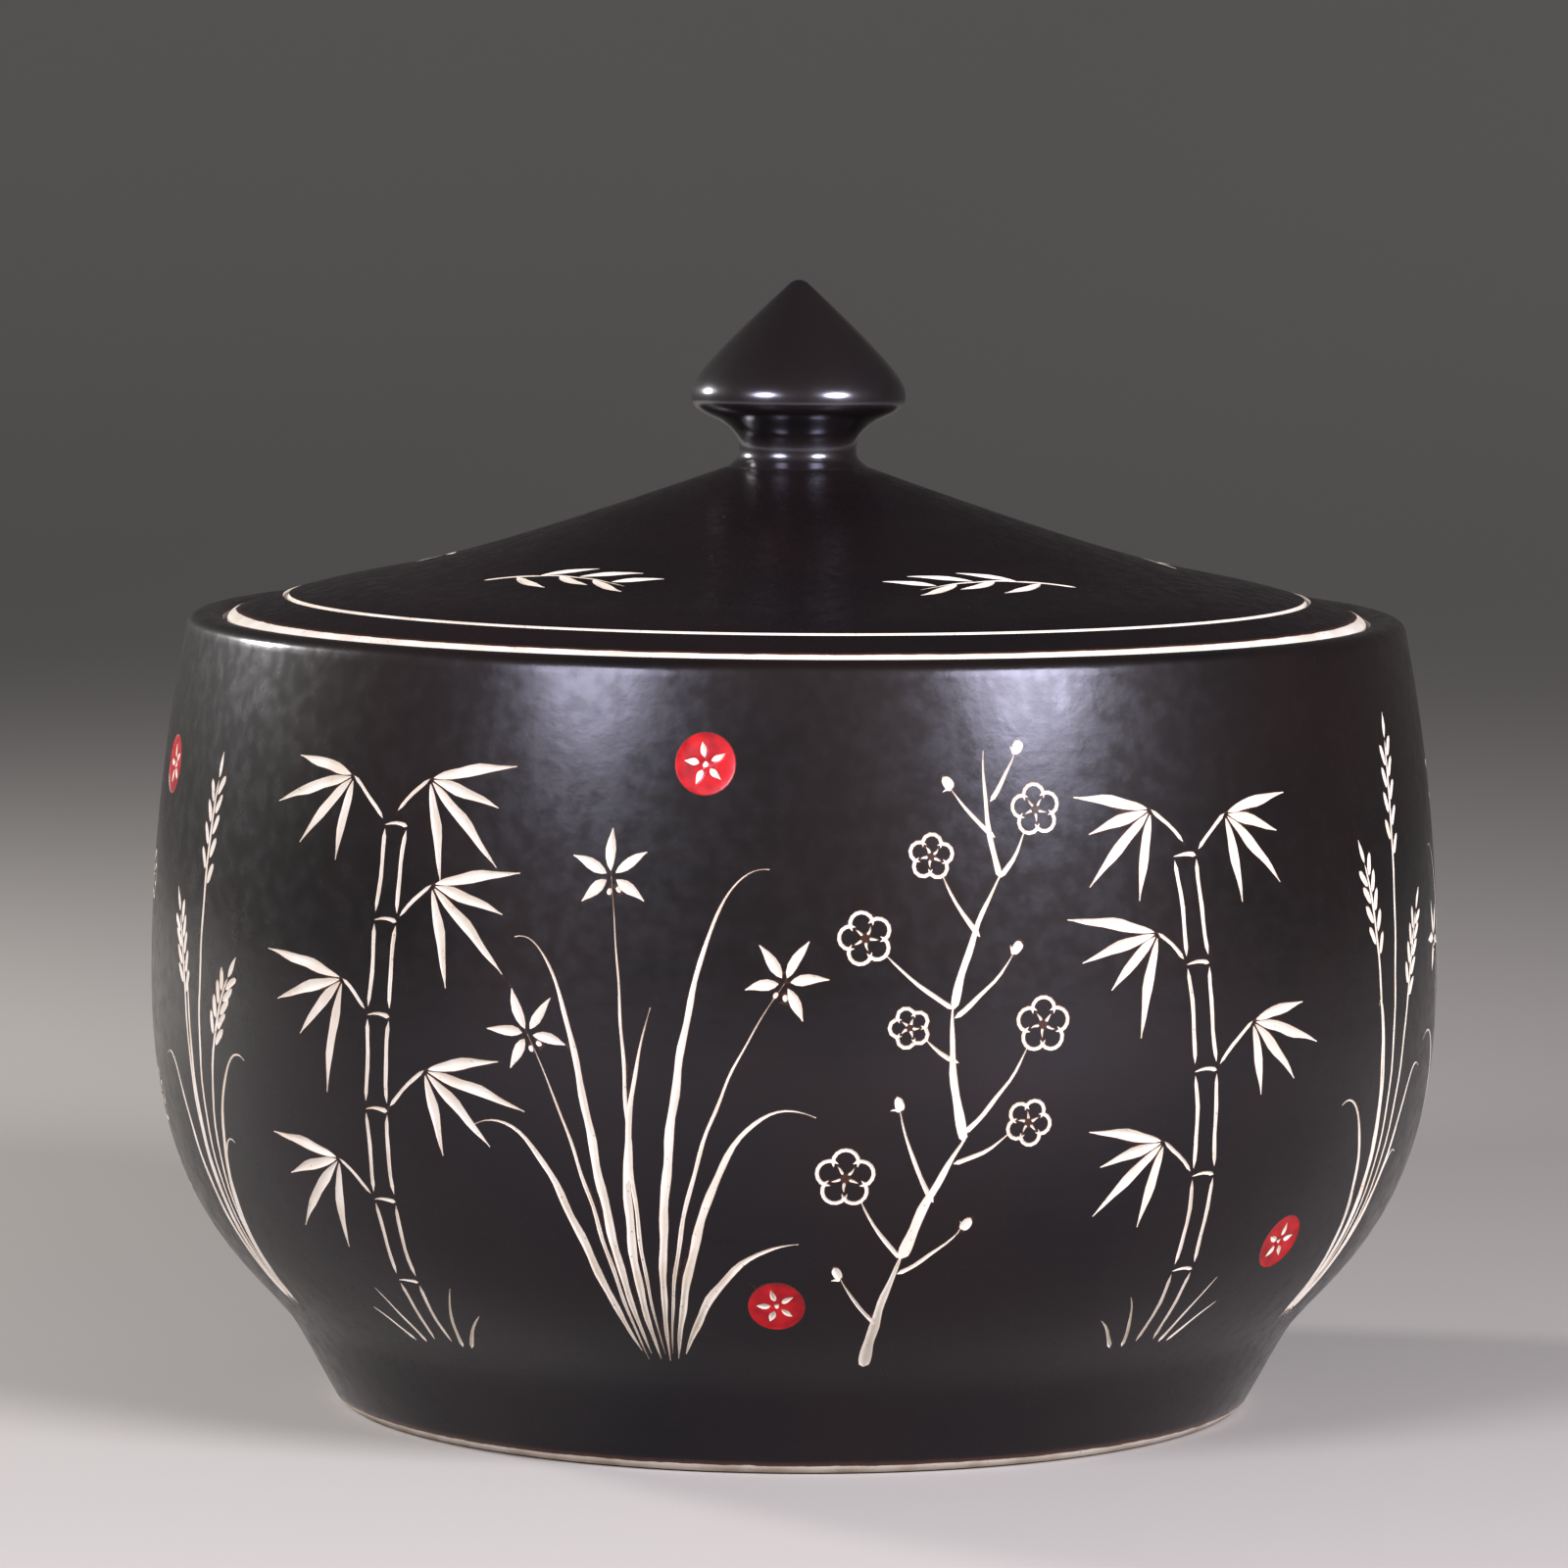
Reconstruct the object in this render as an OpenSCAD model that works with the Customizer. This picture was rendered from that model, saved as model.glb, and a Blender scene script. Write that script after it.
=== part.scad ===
// Lidded stoneware storage jar. A squat, barrel-shaped body stands on a tapered foot and ends in a
// stepped lip. A low lid with an upswept crown drops into the step and rests on a flat seat, held to the
// middle by a locating ring, and carries a hollow bud-shaped knob.
// Millimetres, +Z up. The origin is on the jar's axis, at the height of the table.

/* [Jar body] */
// Diameter of the belly, the widest part of the jar
belly_d = 300; // [294:0.5:310]
// Height of the belly above the table
belly_z = 99; // [92:0.5:106]
// Diameter of the jar just below its rounded lip
lip_d = 283.2; // [277:0.2:288]
// Height of the top of the lip above the table
lip_z = 183.5; // [174:0.5:196]
// Diameter of the waist, where the bowl meets the foot
waist_d = 237.6; // [232:0.2:244]
// Height of the waist above the table
waist_z = 21.5; // [18:0.5:25]
// Lean of the wall at the waist, from upright
waist_lean = 39.4; // [35:0.2:44]
// Diameter of the foot at the top of its bevel
foot_d = 214; // [207:0.2:221]
// Lean of the foot's side, from upright
foot_lean = 29.5; // [25:0.5:33]
// Thickness of the jar's wall
wall_t = 7.5; // [6:0.1:9]
// Thickness of the jar's floor
floor_t = 7.5; // [6:0.1:10]
// Diameter of the floor's flat middle
floor_flat_d = 120; // [90:1:140]

/* [Foot ring] */
// Width of the bare ring that the jar stands on
foot_ring_w = 8; // [6:0.1:12]
// Depth of the hollow inside the foot ring
foot_hollow_depth = 3.5; // [2.5:0.1:3.9]
// Bevel round the foot's outer edge
foot_bevel = 1.2; // [0.6:0.1:2]

/* [Lip and lid seat] */
// Thickness of the lip
lip_t = 8.4; // [7:0.1:9.5]
// Drop of the lip's rounding on the outside
lip_round_out = 2.5; // [1.5:0.1:3.5]
// Drop of the lip's rounding on the inside
lip_round_in = 1.5; // [0.8:0.1:2.5]
// Depth of the lid seat below the top of the lip
seat_depth = 4.5; // [3:0.1:6]
// Width of the flat lid seat
seat_w = 9.2; // [7:0.1:12]
// Thickness of the seat's shelf at the mouth
seat_t = 5; // [4:0.1:7]
// Height over which the shelf blends into the inner wall
seat_blend_h = 18; // [14:0.5:24]
// Rounding of the small edges at the seat and on the lid
edge_round = 1; // [0.5:0.1:1.4]

/* [Lid] */
// Gap between the lid's edge and the lip
lid_edge_gap = 0.8; // [0.4:0.1:1.5]
// Height of the lid's edge above the seat
lid_edge_h = 5; // [4:0.1:6.5]
// Rounding of the lid's upper edge
lid_edge_round = 2.1; // [1.5:0.1:2.6]
// Rise from the seat to the flat that carries the knob
lid_rise = 38.5; // [34:0.5:44]
// Slope of the lid beside the knob, from level
crown_slope = 19.6; // [17:0.2:21]
// Slope of the lid at its edge, from level
brim_slope = 17.9; // [14:0.2:21]
// Thickness of the lid's shell
lid_t = 5.5; // [4.5:0.1:6.5]
// Distance of the incised ring from the lid's edge
ring_inset = 13.6; // [11:0.2:20]
// Width of the incised ring
ring_w = 1.4; // [1:0.1:2.2]
// Depth of the incised ring
ring_depth = 0.8; // [0.4:0.1:1.2]

/* [Locating ring] */
// Gap between the locating ring and the jar's mouth
locating_gap = 1.2; // [0.5:0.1:2]
// Thickness of the locating ring
locating_t = 4; // [3:0.1:5.5]
// Reach of the locating ring below the seat
locating_h = 8; // [6:0.5:12]
// Radius of the hollow corner between the locating ring and the shell
locating_corner = 6; // [4:0.5:8]

/* [Knob] */
// Height of the knob above the lid
knob_h = 43.5; // [39:0.5:48]
// Diameter of the knob's flared foot
knob_foot_d = 32.8; // [30:0.2:36]
// Diameter of the knob's neck
neck_d = 27.2; // [24:0.2:29]
// Height of the narrowest part of the neck
neck_z = 4; // [3:0.1:5.5]
// Diameter of the bud
bud_d = 50; // [46:0.5:56]
// Height of the bud's widest part above the lid
bud_z = 16.2; // [14.5:0.1:19]
// Half angle of the bud's point
point_angle = 47.2; // [43:0.2:50]
// Radius of the bud's rounded tip
tip_r = 3.3; // [2:0.1:4.5]
// Thickness of the wall round the bore in the neck
neck_wall_t = 7.5; // [6:0.1:9]
// Diameter of the hollow inside the bud
bud_hollow_d = 28; // [22:0.5:29]
// Thickness of clay left above the hollow, up to the tip
tip_t = 12; // [9:0.5:16]
// Diameter of the vent through the lid into the knob
vent_d = 3; // [2:0.2:5]

/* [Hidden] */
$fn = 120;

// Straight steps in a long bend, in a shallow one and in a small corner
long_steps = 18;
shallow_steps = 10;
short_steps = 5;

// Headings of a curve, in degrees from level
outward = 0;
upward = 90;
inward = 180;
downward = -90;

// How far each curve is pulled along its end headings, as shares of its straight length
foot_pull_shares = [0.51, 0.21];
bowl_pull_shares = [0.195, 0.618];
arc_pull_shares = [1, 1] / 3;
corner_pull_share = 0.55;
shelf_pull_shares = [0.3, 0.45];
lid_pull_shares = [0.835, 0.378];
crown_pull_shares = [0.3, 0.5];
neck_flare_pull_shares = [0.3, 0.5];
bud_under_pull_shares = [0.475, 0.3];
bud_side_pull_shares = [0.084, 0.885];
hollow_pull_shares = [0.4, 0.45];
floor_pull_shares = [0.28, 0.5];

// The lip's highest point, as a share of its thickness from the outside
lip_crest_share = 0.42;
// The start of the shelf's underside, from level
shelf_lean = -30;
// Where the lid's underside starts to level out, as a share of the radius of the knob's foot
crown_reach_share = 1.9;

// Radii and heights of the jar body
belly_r = belly_d / 2;
belly = [belly_r, belly_z];
waist = [waist_d / 2, waist_z];
waist_heading = upward - waist_lean;
foot_edge = [foot_d / 2, foot_bevel];
foot_inner_r = foot_d / 2 - foot_bevel - foot_ring_w;
floor_z = foot_hollow_depth + floor_t;
lip_edge = [lip_d / 2, lip_z - lip_round_out];
step_r = lip_edge.x - lip_t;
seat_z = lip_z - seat_depth;
mouth_r = step_r - seat_w;

// The shoulder is one arc that leaves the belly upright and ends at the lip
shoulder_turn = 2 * atan2(belly_r - lip_edge.x, lip_edge.y - belly_z);
shoulder_radius = (lip_edge.y - belly_z) / sin(shoulder_turn);
inner_radius = shoulder_radius - wall_t;
inner_top_z = seat_z - seat_t - seat_blend_h;
inner_turn = asin((inner_top_z - belly_z) / inner_radius);
inner_top = [belly_r - shoulder_radius + inner_radius * cos(inner_turn), inner_top_z];

// Radii and heights of the lid
lid_r = step_r - lid_edge_gap;
lid_edge_z = seat_z + lid_edge_h;
crown_z = seat_z + lid_rise;
locating_out_r = mouth_r - locating_gap;
locating_in_r = locating_out_r - locating_t;
locating_z = seat_z - locating_h;
ring_r = lid_r - ring_inset;
lid_drop = lid_t / cos(crown_slope);
vent_r = vent_d / 2;
knob_foot_r = knob_foot_d / 2;

// Points and heights of the knob
neck = [neck_d / 2, crown_z + neck_z];
bud = [bud_d / 2, crown_z + bud_z];
knob_top = crown_z + knob_h;
tip_start = [tip_r * cos(point_angle), knob_top - tip_r * (1 - sin(point_angle))];
bore_r = neck.x - neck_wall_t;
hollow_side = [bud_hollow_d / 2, bud.y];
hollow_top = [0, knob_top - tip_t];

function along(heading) = [cos(heading), sin(heading)];

// The four points that lead a curve from one heading to another
function leads(from, leave, to, arrive, pulls) =
    let (span = norm(to - from))
    [from, from + span * pulls[0] * along(leave), to - span * pulls[1] * along(arrive), to];

// A point of the cubic curve through its first and last lead, pulled towards the two between them
function cubic_point(lead, t) =
    let (s = 1 - t)
    s ^ 3 * lead[0] + 3 * s ^ 2 * t * lead[1] + 3 * s * t ^ 2 * lead[2] + t ^ 3 * lead[3];

// The way that curve runs at the same share of its length
function cubic_run(lead, t) =
    let (s = 1 - t)
    s ^ 2 * (lead[1] - lead[0]) + 2 * s * t * (lead[2] - lead[1]) + t ^ 2 * (lead[3] - lead[2]);

// The curve as points, set off to its left by a gap
function cubic(lead, steps, gap = 0) = [
    for (i = [0 : steps])
        let (run = cubic_run(lead, i / steps))
        cubic_point(lead, i / steps) + gap * [-run.y, run.x] / norm(run)
];

// A smooth stretch between two points that leaves on one heading and arrives on the other
function stretch(from, leave, to, arrive, pulls, steps) =
    cubic(leads(from, leave, to, arrive, pulls), steps);

// A rounded corner between two points, inside the sharp one at the elbow
function corner(from, elbow, to) =
    let (pull = corner_pull_share)
    cubic([from, from + pull * (elbow - from), to + pull * (elbow - to), to], short_steps);

// Half of the jar body's section, from the middle of its underside round to the middle of its floor
function foot_points() = concat(
    [
        [0, foot_hollow_depth],
        [foot_inner_r - foot_hollow_depth, foot_hollow_depth],
        [foot_inner_r, 0],
        [foot_edge.x - foot_bevel, 0]
    ],
    stretch(foot_edge, upward - foot_lean, waist, waist_heading, foot_pull_shares, short_steps)
);

function outer_points() = concat(
    stretch(waist, waist_heading, belly, upward, bowl_pull_shares, long_steps),
    stretch(belly, upward, lip_edge, upward + shoulder_turn, arc_pull_shares, shallow_steps)
);

function lip_points() =
    let (
        crest = [lip_edge.x - lip_t * lip_crest_share, lip_z],
        outer_elbow = [lip_edge.x - lip_round_out * tan(shoulder_turn), lip_z]
    )
    concat(
        corner(lip_edge, outer_elbow, crest),
        corner(crest, [step_r, lip_z], [step_r, lip_z - lip_round_in])
    );

function seat_points() = concat(
    [[step_r, seat_z]],
    corner([mouth_r + edge_round, seat_z], [mouth_r, seat_z], [mouth_r, seat_z - edge_round]),
    stretch([mouth_r, seat_z - seat_t], shelf_lean, inner_top, downward + inner_turn,
        shelf_pull_shares, short_steps)
);

// The bowl keeps the wall's thickness down to the waist, and turns from there into the flat floor
function inner_points() =
    let (
        bowl = cubic(leads(waist, waist_heading, belly, upward, bowl_pull_shares), long_steps, wall_t),
        falling_bowl = [for (i = [long_steps : -1 : 1]) bowl[i]]
    )
    concat(
        stretch(inner_top, downward + inner_turn, belly - [wall_t, 0], downward,
            arc_pull_shares, shallow_steps),
        falling_bowl,
        stretch(bowl[0], waist_heading - inward, [floor_flat_d / 2, floor_z], inward,
            floor_pull_shares, shallow_steps),
        [[0, floor_z]]
    );

// The lid's upper side, from the knob's foot out to the rounded edge
function lid_top_points() = stretch(
    [knob_foot_r, crown_z], -crown_slope,
    [lid_r - lid_edge_round, lid_edge_z], -brim_slope,
    lid_pull_shares, long_steps
);

// The same with the incised ring cut into it
function ringed_top_points() =
    let (top = lid_top_points(), ring_z = lookup(ring_r, top), half = ring_w / 2)
    concat(
        [for (p = top) if (p.x < ring_r - half) p],
        [
            [ring_r - half, lookup(ring_r - half, top)],
            [ring_r, ring_z - ring_depth],
            [ring_r + half, lookup(ring_r + half, top)]
        ],
        [for (p = top) if (p.x > ring_r + half) p]
    );

function lid_edge_points() = concat(
    corner(
        [lid_r - lid_edge_round, lid_edge_z],
        [lid_r, lid_edge_z - lid_edge_round * tan(brim_slope)],
        [lid_r, lid_edge_z - lid_edge_round]
    ),
    corner([lid_r, seat_z + edge_round], [lid_r, seat_z], [lid_r - edge_round, seat_z])
);

function locating_points() = concat(
    [[locating_out_r, seat_z]],
    corner(
        [locating_out_r, locating_z + edge_round],
        [locating_out_r, locating_z],
        [locating_out_r - edge_round, locating_z]
    ),
    corner(
        [locating_in_r + edge_round, locating_z],
        [locating_in_r, locating_z],
        [locating_in_r, locating_z + edge_round]
    )
);

// The lid's underside, from the locating ring up to the vent
function lid_under_points() =
    let (
        top = lid_top_points(),
        first_r = knob_foot_r * crown_reach_share,
        last_r = locating_in_r - locating_corner,
        under = [for (p = top) if (p.x > first_r && p.x < last_r) [p.x, p.y - lid_drop]],
        last = len(under) - 1
    )
    concat(
        corner(
            [locating_in_r, under[last].y - locating_corner],
            [locating_in_r, under[last].y - (locating_in_r - under[last].x) * tan(brim_slope)],
            under[last]
        ),
        [for (i = [last - 1 : -1 : 1]) under[i]],
        stretch(under[0], inward - crown_slope, [vent_r, crown_z - lid_t], inward,
            crown_pull_shares, short_steps)
    );

function knob_outer_points() = concat(
    stretch([knob_foot_r, crown_z], inward - point_angle, neck, upward,
        neck_flare_pull_shares, short_steps),
    stretch(neck, upward, bud, upward, bud_under_pull_shares, shallow_steps),
    stretch(bud, upward, tip_start, upward + point_angle, bud_side_pull_shares, shallow_steps),
    [
        for (i = [1 : short_steps])
            [0, knob_top - tip_r] + tip_r * along(point_angle + (upward - point_angle) * i / short_steps)
    ]
);

function knob_hollow_points() = concat(
    stretch(hollow_top, outward - point_angle, hollow_side, downward, hollow_pull_shares, short_steps),
    stretch(hollow_side, downward, [bore_r, neck.y], downward, hollow_pull_shares, short_steps),
    [[bore_r, crown_z]]
);

module jar_body() {
    color("#1c1a1c")
        rotate_extrude()
            polygon(concat(foot_points(), outer_points(), lip_points(), seat_points(), inner_points()));
}

module lid() {
    color("#231c1d")
        rotate_extrude()
            polygon(concat(
                [[vent_r, crown_z]],
                ringed_top_points(),
                lid_edge_points(),
                locating_points(),
                lid_under_points()
            ));
}

module lid_knob() {
    color("#1f1d22")
        rotate_extrude()
            polygon(concat(knob_outer_points(), knob_hollow_points()));
}

jar_body();
lid();
lid_knob();
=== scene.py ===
"""Lidded stoneware storage jar: its turned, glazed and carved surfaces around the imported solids.

The jar, the lid and the knob are each one closed surface that follows the section of its solid and takes
the place of its node. The drawing is cut into the glaze as real grooves with bare clay at their bottom.
Sizes are in millimetres, with +Z up and the jar's axis at the origin, until they go into a mesh in metres.
"""

import logging
import math
from dataclasses import dataclass
from enum import Enum
from itertools import chain
from typing import Protocol

import bpy
import numpy as np
from mathutils import Matrix, Vector
from mathutils.geometry import delaunay_2d_cdt


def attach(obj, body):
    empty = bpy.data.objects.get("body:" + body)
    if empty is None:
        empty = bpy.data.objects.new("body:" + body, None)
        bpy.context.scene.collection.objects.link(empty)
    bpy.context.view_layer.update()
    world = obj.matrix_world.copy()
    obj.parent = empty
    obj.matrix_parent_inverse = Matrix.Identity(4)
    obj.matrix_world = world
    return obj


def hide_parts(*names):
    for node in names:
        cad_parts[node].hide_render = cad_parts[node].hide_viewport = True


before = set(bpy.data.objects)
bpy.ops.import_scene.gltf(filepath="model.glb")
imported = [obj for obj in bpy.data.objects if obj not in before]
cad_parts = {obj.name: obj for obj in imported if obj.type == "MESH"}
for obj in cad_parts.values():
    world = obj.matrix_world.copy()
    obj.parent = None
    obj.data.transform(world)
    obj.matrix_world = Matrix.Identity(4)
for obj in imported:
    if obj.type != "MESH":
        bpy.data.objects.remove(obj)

log = logging.getLogger("jar")

Array = np.ndarray
Colour = tuple[float, float, float, float]
Socket = bpy.types.NodeSocket

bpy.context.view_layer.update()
SEAT_HEIGHT = 179.0  # where the lid stands on the jar
CROWN = (16.4, 217.5)  # radius and height of the flat on the lid that the knob stands on
MILLIMETRE = 0.001
FULL_TURN = 2 * math.pi
SEAM_ANGLE = math.radians(90)  # every piece has its seam at the back
FAR = 9.0  # a distance from the nearest cut at which nothing of it shows
WELD = 1e-4  # points nearer to each other than this are one
WITHIN_BORDER = 1  # has Blender's triangulation leave out what lies outside the border
TINY = 1e-9
CORNER_SHARE = 0.45  # of a straight run, the most that a rounded corner takes
CORNER_STEPS = 4
THINNEST = 0.07  # of a stroke's widest place
ROUND_START = 0.06  # share of the way in which a tail's start is rounded
GROOVE_POWER = 0.8  # how round a groove's bottom is
INNER_ROWS = (-0.5, 0.0, 0.5)  # rows of points in a stroke, as shares of its half width
BESIDE = 0.45  # distance of the rows beside a stroke
CLEAR_BESIDE, CLEAR = 0.3, 0.9  # how near a cut points beside it and other points may lie
RIM_DEPTH, RIM_CLEAR = 0.7, 0.35  # how far a medallion's inner points lie from its rim and from its petals


# Lines in a plane


def along(degrees: float | Array) -> Array:
    """A step of length one on a heading in degrees from level."""
    turned = np.radians(degrees)
    return np.stack([np.cos(turned), np.sin(turned)], axis=-1)


def sideways(run: Array) -> Array:
    """A step of length one to the left of each step of a run."""
    run = run / np.linalg.norm(run, axis=1, keepdims=True)
    return np.column_stack([-run[:, 1], run[:, 0]])


def outwards(turn: Array) -> Array:
    """A level step of length one away from the axis, at a share of a turn from the seam."""
    angle = SEAM_ANGLE + FULL_TURN * turn
    return np.stack([np.cos(angle), np.sin(angle)], axis=-1)


def cubic(leads: Array, steps: int, gap: float = 0.0) -> Array:
    """A cubic curve through its first and last lead, pulled towards the two between them.

    The point at a share t of the way is the four leads weighed by s^3, 3 s^2 t, 3 s t^2 and t^3, with
    s = 1 - t. A gap sets the curve off to the left of the way it runs.

    Args:
        leads: Four points, one a row.
        steps: Number of straight steps.
        gap: Distance to the left.

    Returns:
        The points, one a row.
    """
    a, b, c, d = np.asarray(leads, float)
    t = np.linspace(0, 1, steps + 1)[:, None]
    s = 1 - t
    points = s**3 * a + 3 * s**2 * t * b + 3 * s * t**2 * c + t**3 * d
    run = s**2 * (b - a) + 2 * s * t * (c - b) + t**2 * (d - c)
    return points + gap * sideways(run)


def leads(start: Array, leave: float, end: Array, arrive: float, pulls: tuple[float, float]) -> Array:
    """The four leads of a curve that leaves on one heading and arrives on another.

    Args:
        start: First point.
        leave: Heading there, in degrees.
        end: Last point.
        arrive: Heading there, in degrees.
        pulls: How far each end is pulled along its heading, as shares of the straight distance.

    Returns:
        The four leads, one a row.
    """
    start, end = np.asarray(start, float), np.asarray(end, float)
    span = np.linalg.norm(end - start)
    return np.array([start, start + span * pulls[0] * along(leave), end - span * pulls[1] * along(arrive), end])


def corner(start: Array, elbow: Array, end: Array, steps: int = 8, pull: float = 0.55) -> Array:
    """A rounded corner between two points, pulled by a share of the way to the sharp one at the elbow."""
    start, elbow, end = (np.asarray(p, float) for p in (start, elbow, end))
    return cubic(np.array([start, start + pull * (elbow - start), end + pull * (elbow - end), end]), steps)


def softened(points: list[tuple[float, float]], radius: float) -> Array:
    """A line of straight runs with rounded corners.

    Args:
        points: Its ends and corners.
        radius: How far from a corner its rounding starts, less where a run is short.

    Returns:
        The points, one a row.
    """
    points = np.asarray(points, float)
    pieces = [points[:1]]
    for before, here, after in zip(points[:-2], points[1:-1], points[2:]):
        back, on = before - here, after - here
        reach = min(radius, CORNER_SHARE * np.linalg.norm(back), CORNER_SHARE * np.linalg.norm(on))
        first = here + reach * back / np.linalg.norm(back)
        last = here + reach * on / np.linalg.norm(on)
        pieces.append(corner(first, here, last, CORNER_STEPS))
    return np.vstack([*pieces, points[-1:]])


def filled(points: Array, pitch: float) -> Array:
    """The same line with points put into its longer steps.

    Args:
        points: The line's points, one a row.
        pitch: The longest step.

    Returns:
        The points, one a row.
    """
    lengths = np.linalg.norm(np.diff(points, axis=0), axis=1)
    counts = np.maximum(np.ceil(lengths / pitch), 1).astype(int)
    places = np.concatenate([i + np.arange(n) / n for i, n in enumerate(counts)] + [[len(points) - 1]])
    index = np.arange(len(points))
    return np.column_stack([np.interp(places, index, points[:, k]) for k in range(2)])


# Sections and surfaces


class Section:
    """Half of a piece's section as one line, run with the air on its right.

    The facing at a point is the mean of its two steps' right-hand normals, each weighed by one over the
    step's length. Where they differ by more than the crease angle, each step keeps its own.
    """

    CREASE = math.radians(30)

    def __init__(self, parts: dict[str, Array]) -> None:
        """Joins the named parts, in order, into one line.

        Args:
            parts: For each part its points, radius and height, starting where the part before it ends.
                A point that repeats the one before it is left out.
        """
        lines, self.first, count = [], {}, 0
        for name, points in parts.items():
            apart = np.linalg.norm(np.diff(points, axis=0), axis=1) > WELD
            points = points[np.concatenate([[not lines], apart])]
            self.first[name] = max(count - 1, 0)
            lines.append(points)
            count += len(points)
        self.last = dict(zip(self.first, [*list(self.first.values())[1:], count - 1]))
        self.points = np.vstack(lines)
        steps = np.diff(self.points, axis=0)
        lengths = np.linalg.norm(steps, axis=1, keepdims=True)
        self.arc = np.append(0.0, np.cumsum(lengths))
        self.length = float(self.arc[-1])
        facing = np.column_stack([steps[:, 1], -steps[:, 0]]) / lengths
        before, after = np.vstack([facing[:1], facing]), np.vstack([facing, facing[-1:]])
        smooth = before * (1 / np.vstack([lengths[:1], lengths])) + after * (1 / np.vstack([lengths, lengths[-1:]]))
        self.facing = smooth / np.linalg.norm(smooth, axis=1, keepdims=True)
        sharp = ((before * after).sum(axis=1) < math.cos(self.CREASE))[:, None]
        self.arriving = np.where(sharp, before, self.facing)
        self.leaving = np.where(sharp, after, self.facing)

    def rows(self, part: str, last: str | None = None) -> slice:
        """The points of a part, or of all the parts from it to the last one named."""
        return slice(self.first[part], self.last[last or part] + 1)

    def arc_at(self, part: str, radius: float | None = None, height: float | None = None) -> float:
        """How far along the line a part reaches a radius or a height that it passes once.

        Args:
            part: Name of the part.
            radius: Radius to look for, or None.
            height: Height to look for, or None.

        Returns:
            The length of the line up to there.
        """
        rows = self.rows(part)
        values = self.points[rows, 0 if height is None else 1]
        wanted = radius if height is None else height
        order = np.argsort(values)
        return float(np.interp(wanted, values[order], self.arc[rows][order]))


@dataclass
class Glazing:
    """Where the glaze on a section begins and ends, as lengths along its line."""

    edges: list[float]
    starts_glazed: bool

    def reach(self, arc: Array) -> Array:
        """Distance to the nearest edge of the glaze.

        Args:
            arc: Lengths along the section's line.

        Returns:
            The distances, above zero on the glaze and below it on bare clay.
        """
        edges = np.sort(self.edges)
        glazed = (np.searchsorted(edges, arc) % 2 == 0) == self.starts_glazed
        distance = np.abs(arc[:, None] - edges).min(axis=1)
        return np.where(glazed, distance, -distance)


@dataclass
class Patch:
    """A stretch of surface, as arrays with a row for each point or triangle.

    Attributes:
        points: Places of the points.
        triangles: Three point numbers each, in turn as seen from the air.
        facings: A unit normal for each corner of each triangle.
        chart: A place on the unrolled map for each corner of each triangle.
        glaze_reach: For each point, its distance from the edge of the glaze.
        cut_reach: For each point, its distance from the nearest cut.
        carved: For each triangle, one where it lies in a cut.
        enamel: For each triangle, one where it is red enamel.
    """

    points: Array
    triangles: Array
    facings: Array
    chart: Array
    glaze_reach: Array
    cut_reach: Array
    carved: Array
    enamel: Array

    @staticmethod
    def joined(patches: list["Patch"]) -> "Patch":
        """One patch from several, with the points that lie on each other welded and flat triangles left out.

        Args:
            patches: Patches whose borders meet point by point.

        Returns:
            The joined patch.
        """
        starts = np.cumsum([0] + [len(p.points) for p in patches[:-1]])
        points = np.vstack([p.points for p in patches])
        triangles = np.vstack([p.triangles + start for p, start in zip(patches, starts)])
        keys = np.round(points / WELD).astype(np.int64)
        _, kept, new = np.unique(keys, axis=0, return_index=True, return_inverse=True)
        triangles = new.reshape(-1)[triangles]
        a, b, c = triangles.T
        whole = (a != b) & (b != c) & (c != a)

        def gather(name: str) -> Array:
            """The named arrays of all the patches, one after the other."""
            return np.concatenate([getattr(p, name) for p in patches])

        return Patch(
            points[kept], triangles[whole], gather("facings")[whole], gather("chart")[whole],
            gather("glaze_reach")[kept], gather("cut_reach")[kept], gather("carved")[whole], gather("enamel")[whole],
        )

    def open_edges(self) -> int:
        """Counts the edges that don't have a triangle on each side.

        Returns:
            Their number, none on a closed surface.
        """
        sides = np.sort(self.triangles[:, [0, 1, 1, 2, 2, 0]].reshape(-1, 2), axis=1)
        _, uses = np.unique(sides, axis=0, return_counts=True)
        return int((uses != 2).sum())

    def mesh(self, name: str) -> bpy.types.Mesh:
        """The patch as a mesh in metres, with its normals, its map and its attributes.

        Args:
            name: Name of the mesh.

        Returns:
            The mesh.
        """
        mesh = bpy.data.meshes.new(name)
        mesh.from_pydata((self.points * MILLIMETRE).tolist(), [], self.triangles.tolist())
        mesh.polygons.foreach_set("use_smooth", np.ones(len(self.triangles), bool))
        layer = mesh.uv_layers.new(name="OFBake")
        layer.uv.foreach_set("vector", self.chart.astype(np.float32).ravel())
        for label, domain in (("glaze_reach", "POINT"), ("cut_reach", "POINT"), ("carved", "FACE"), ("enamel", "FACE")):
            attribute = mesh.attributes.new(label, "FLOAT", domain)
            attribute.data.foreach_set("value", getattr(self, label).astype(np.float32))
        mesh.normals_split_custom_set(self.facings.reshape(-1, 3).tolist())
        mesh.validate()
        return mesh


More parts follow.
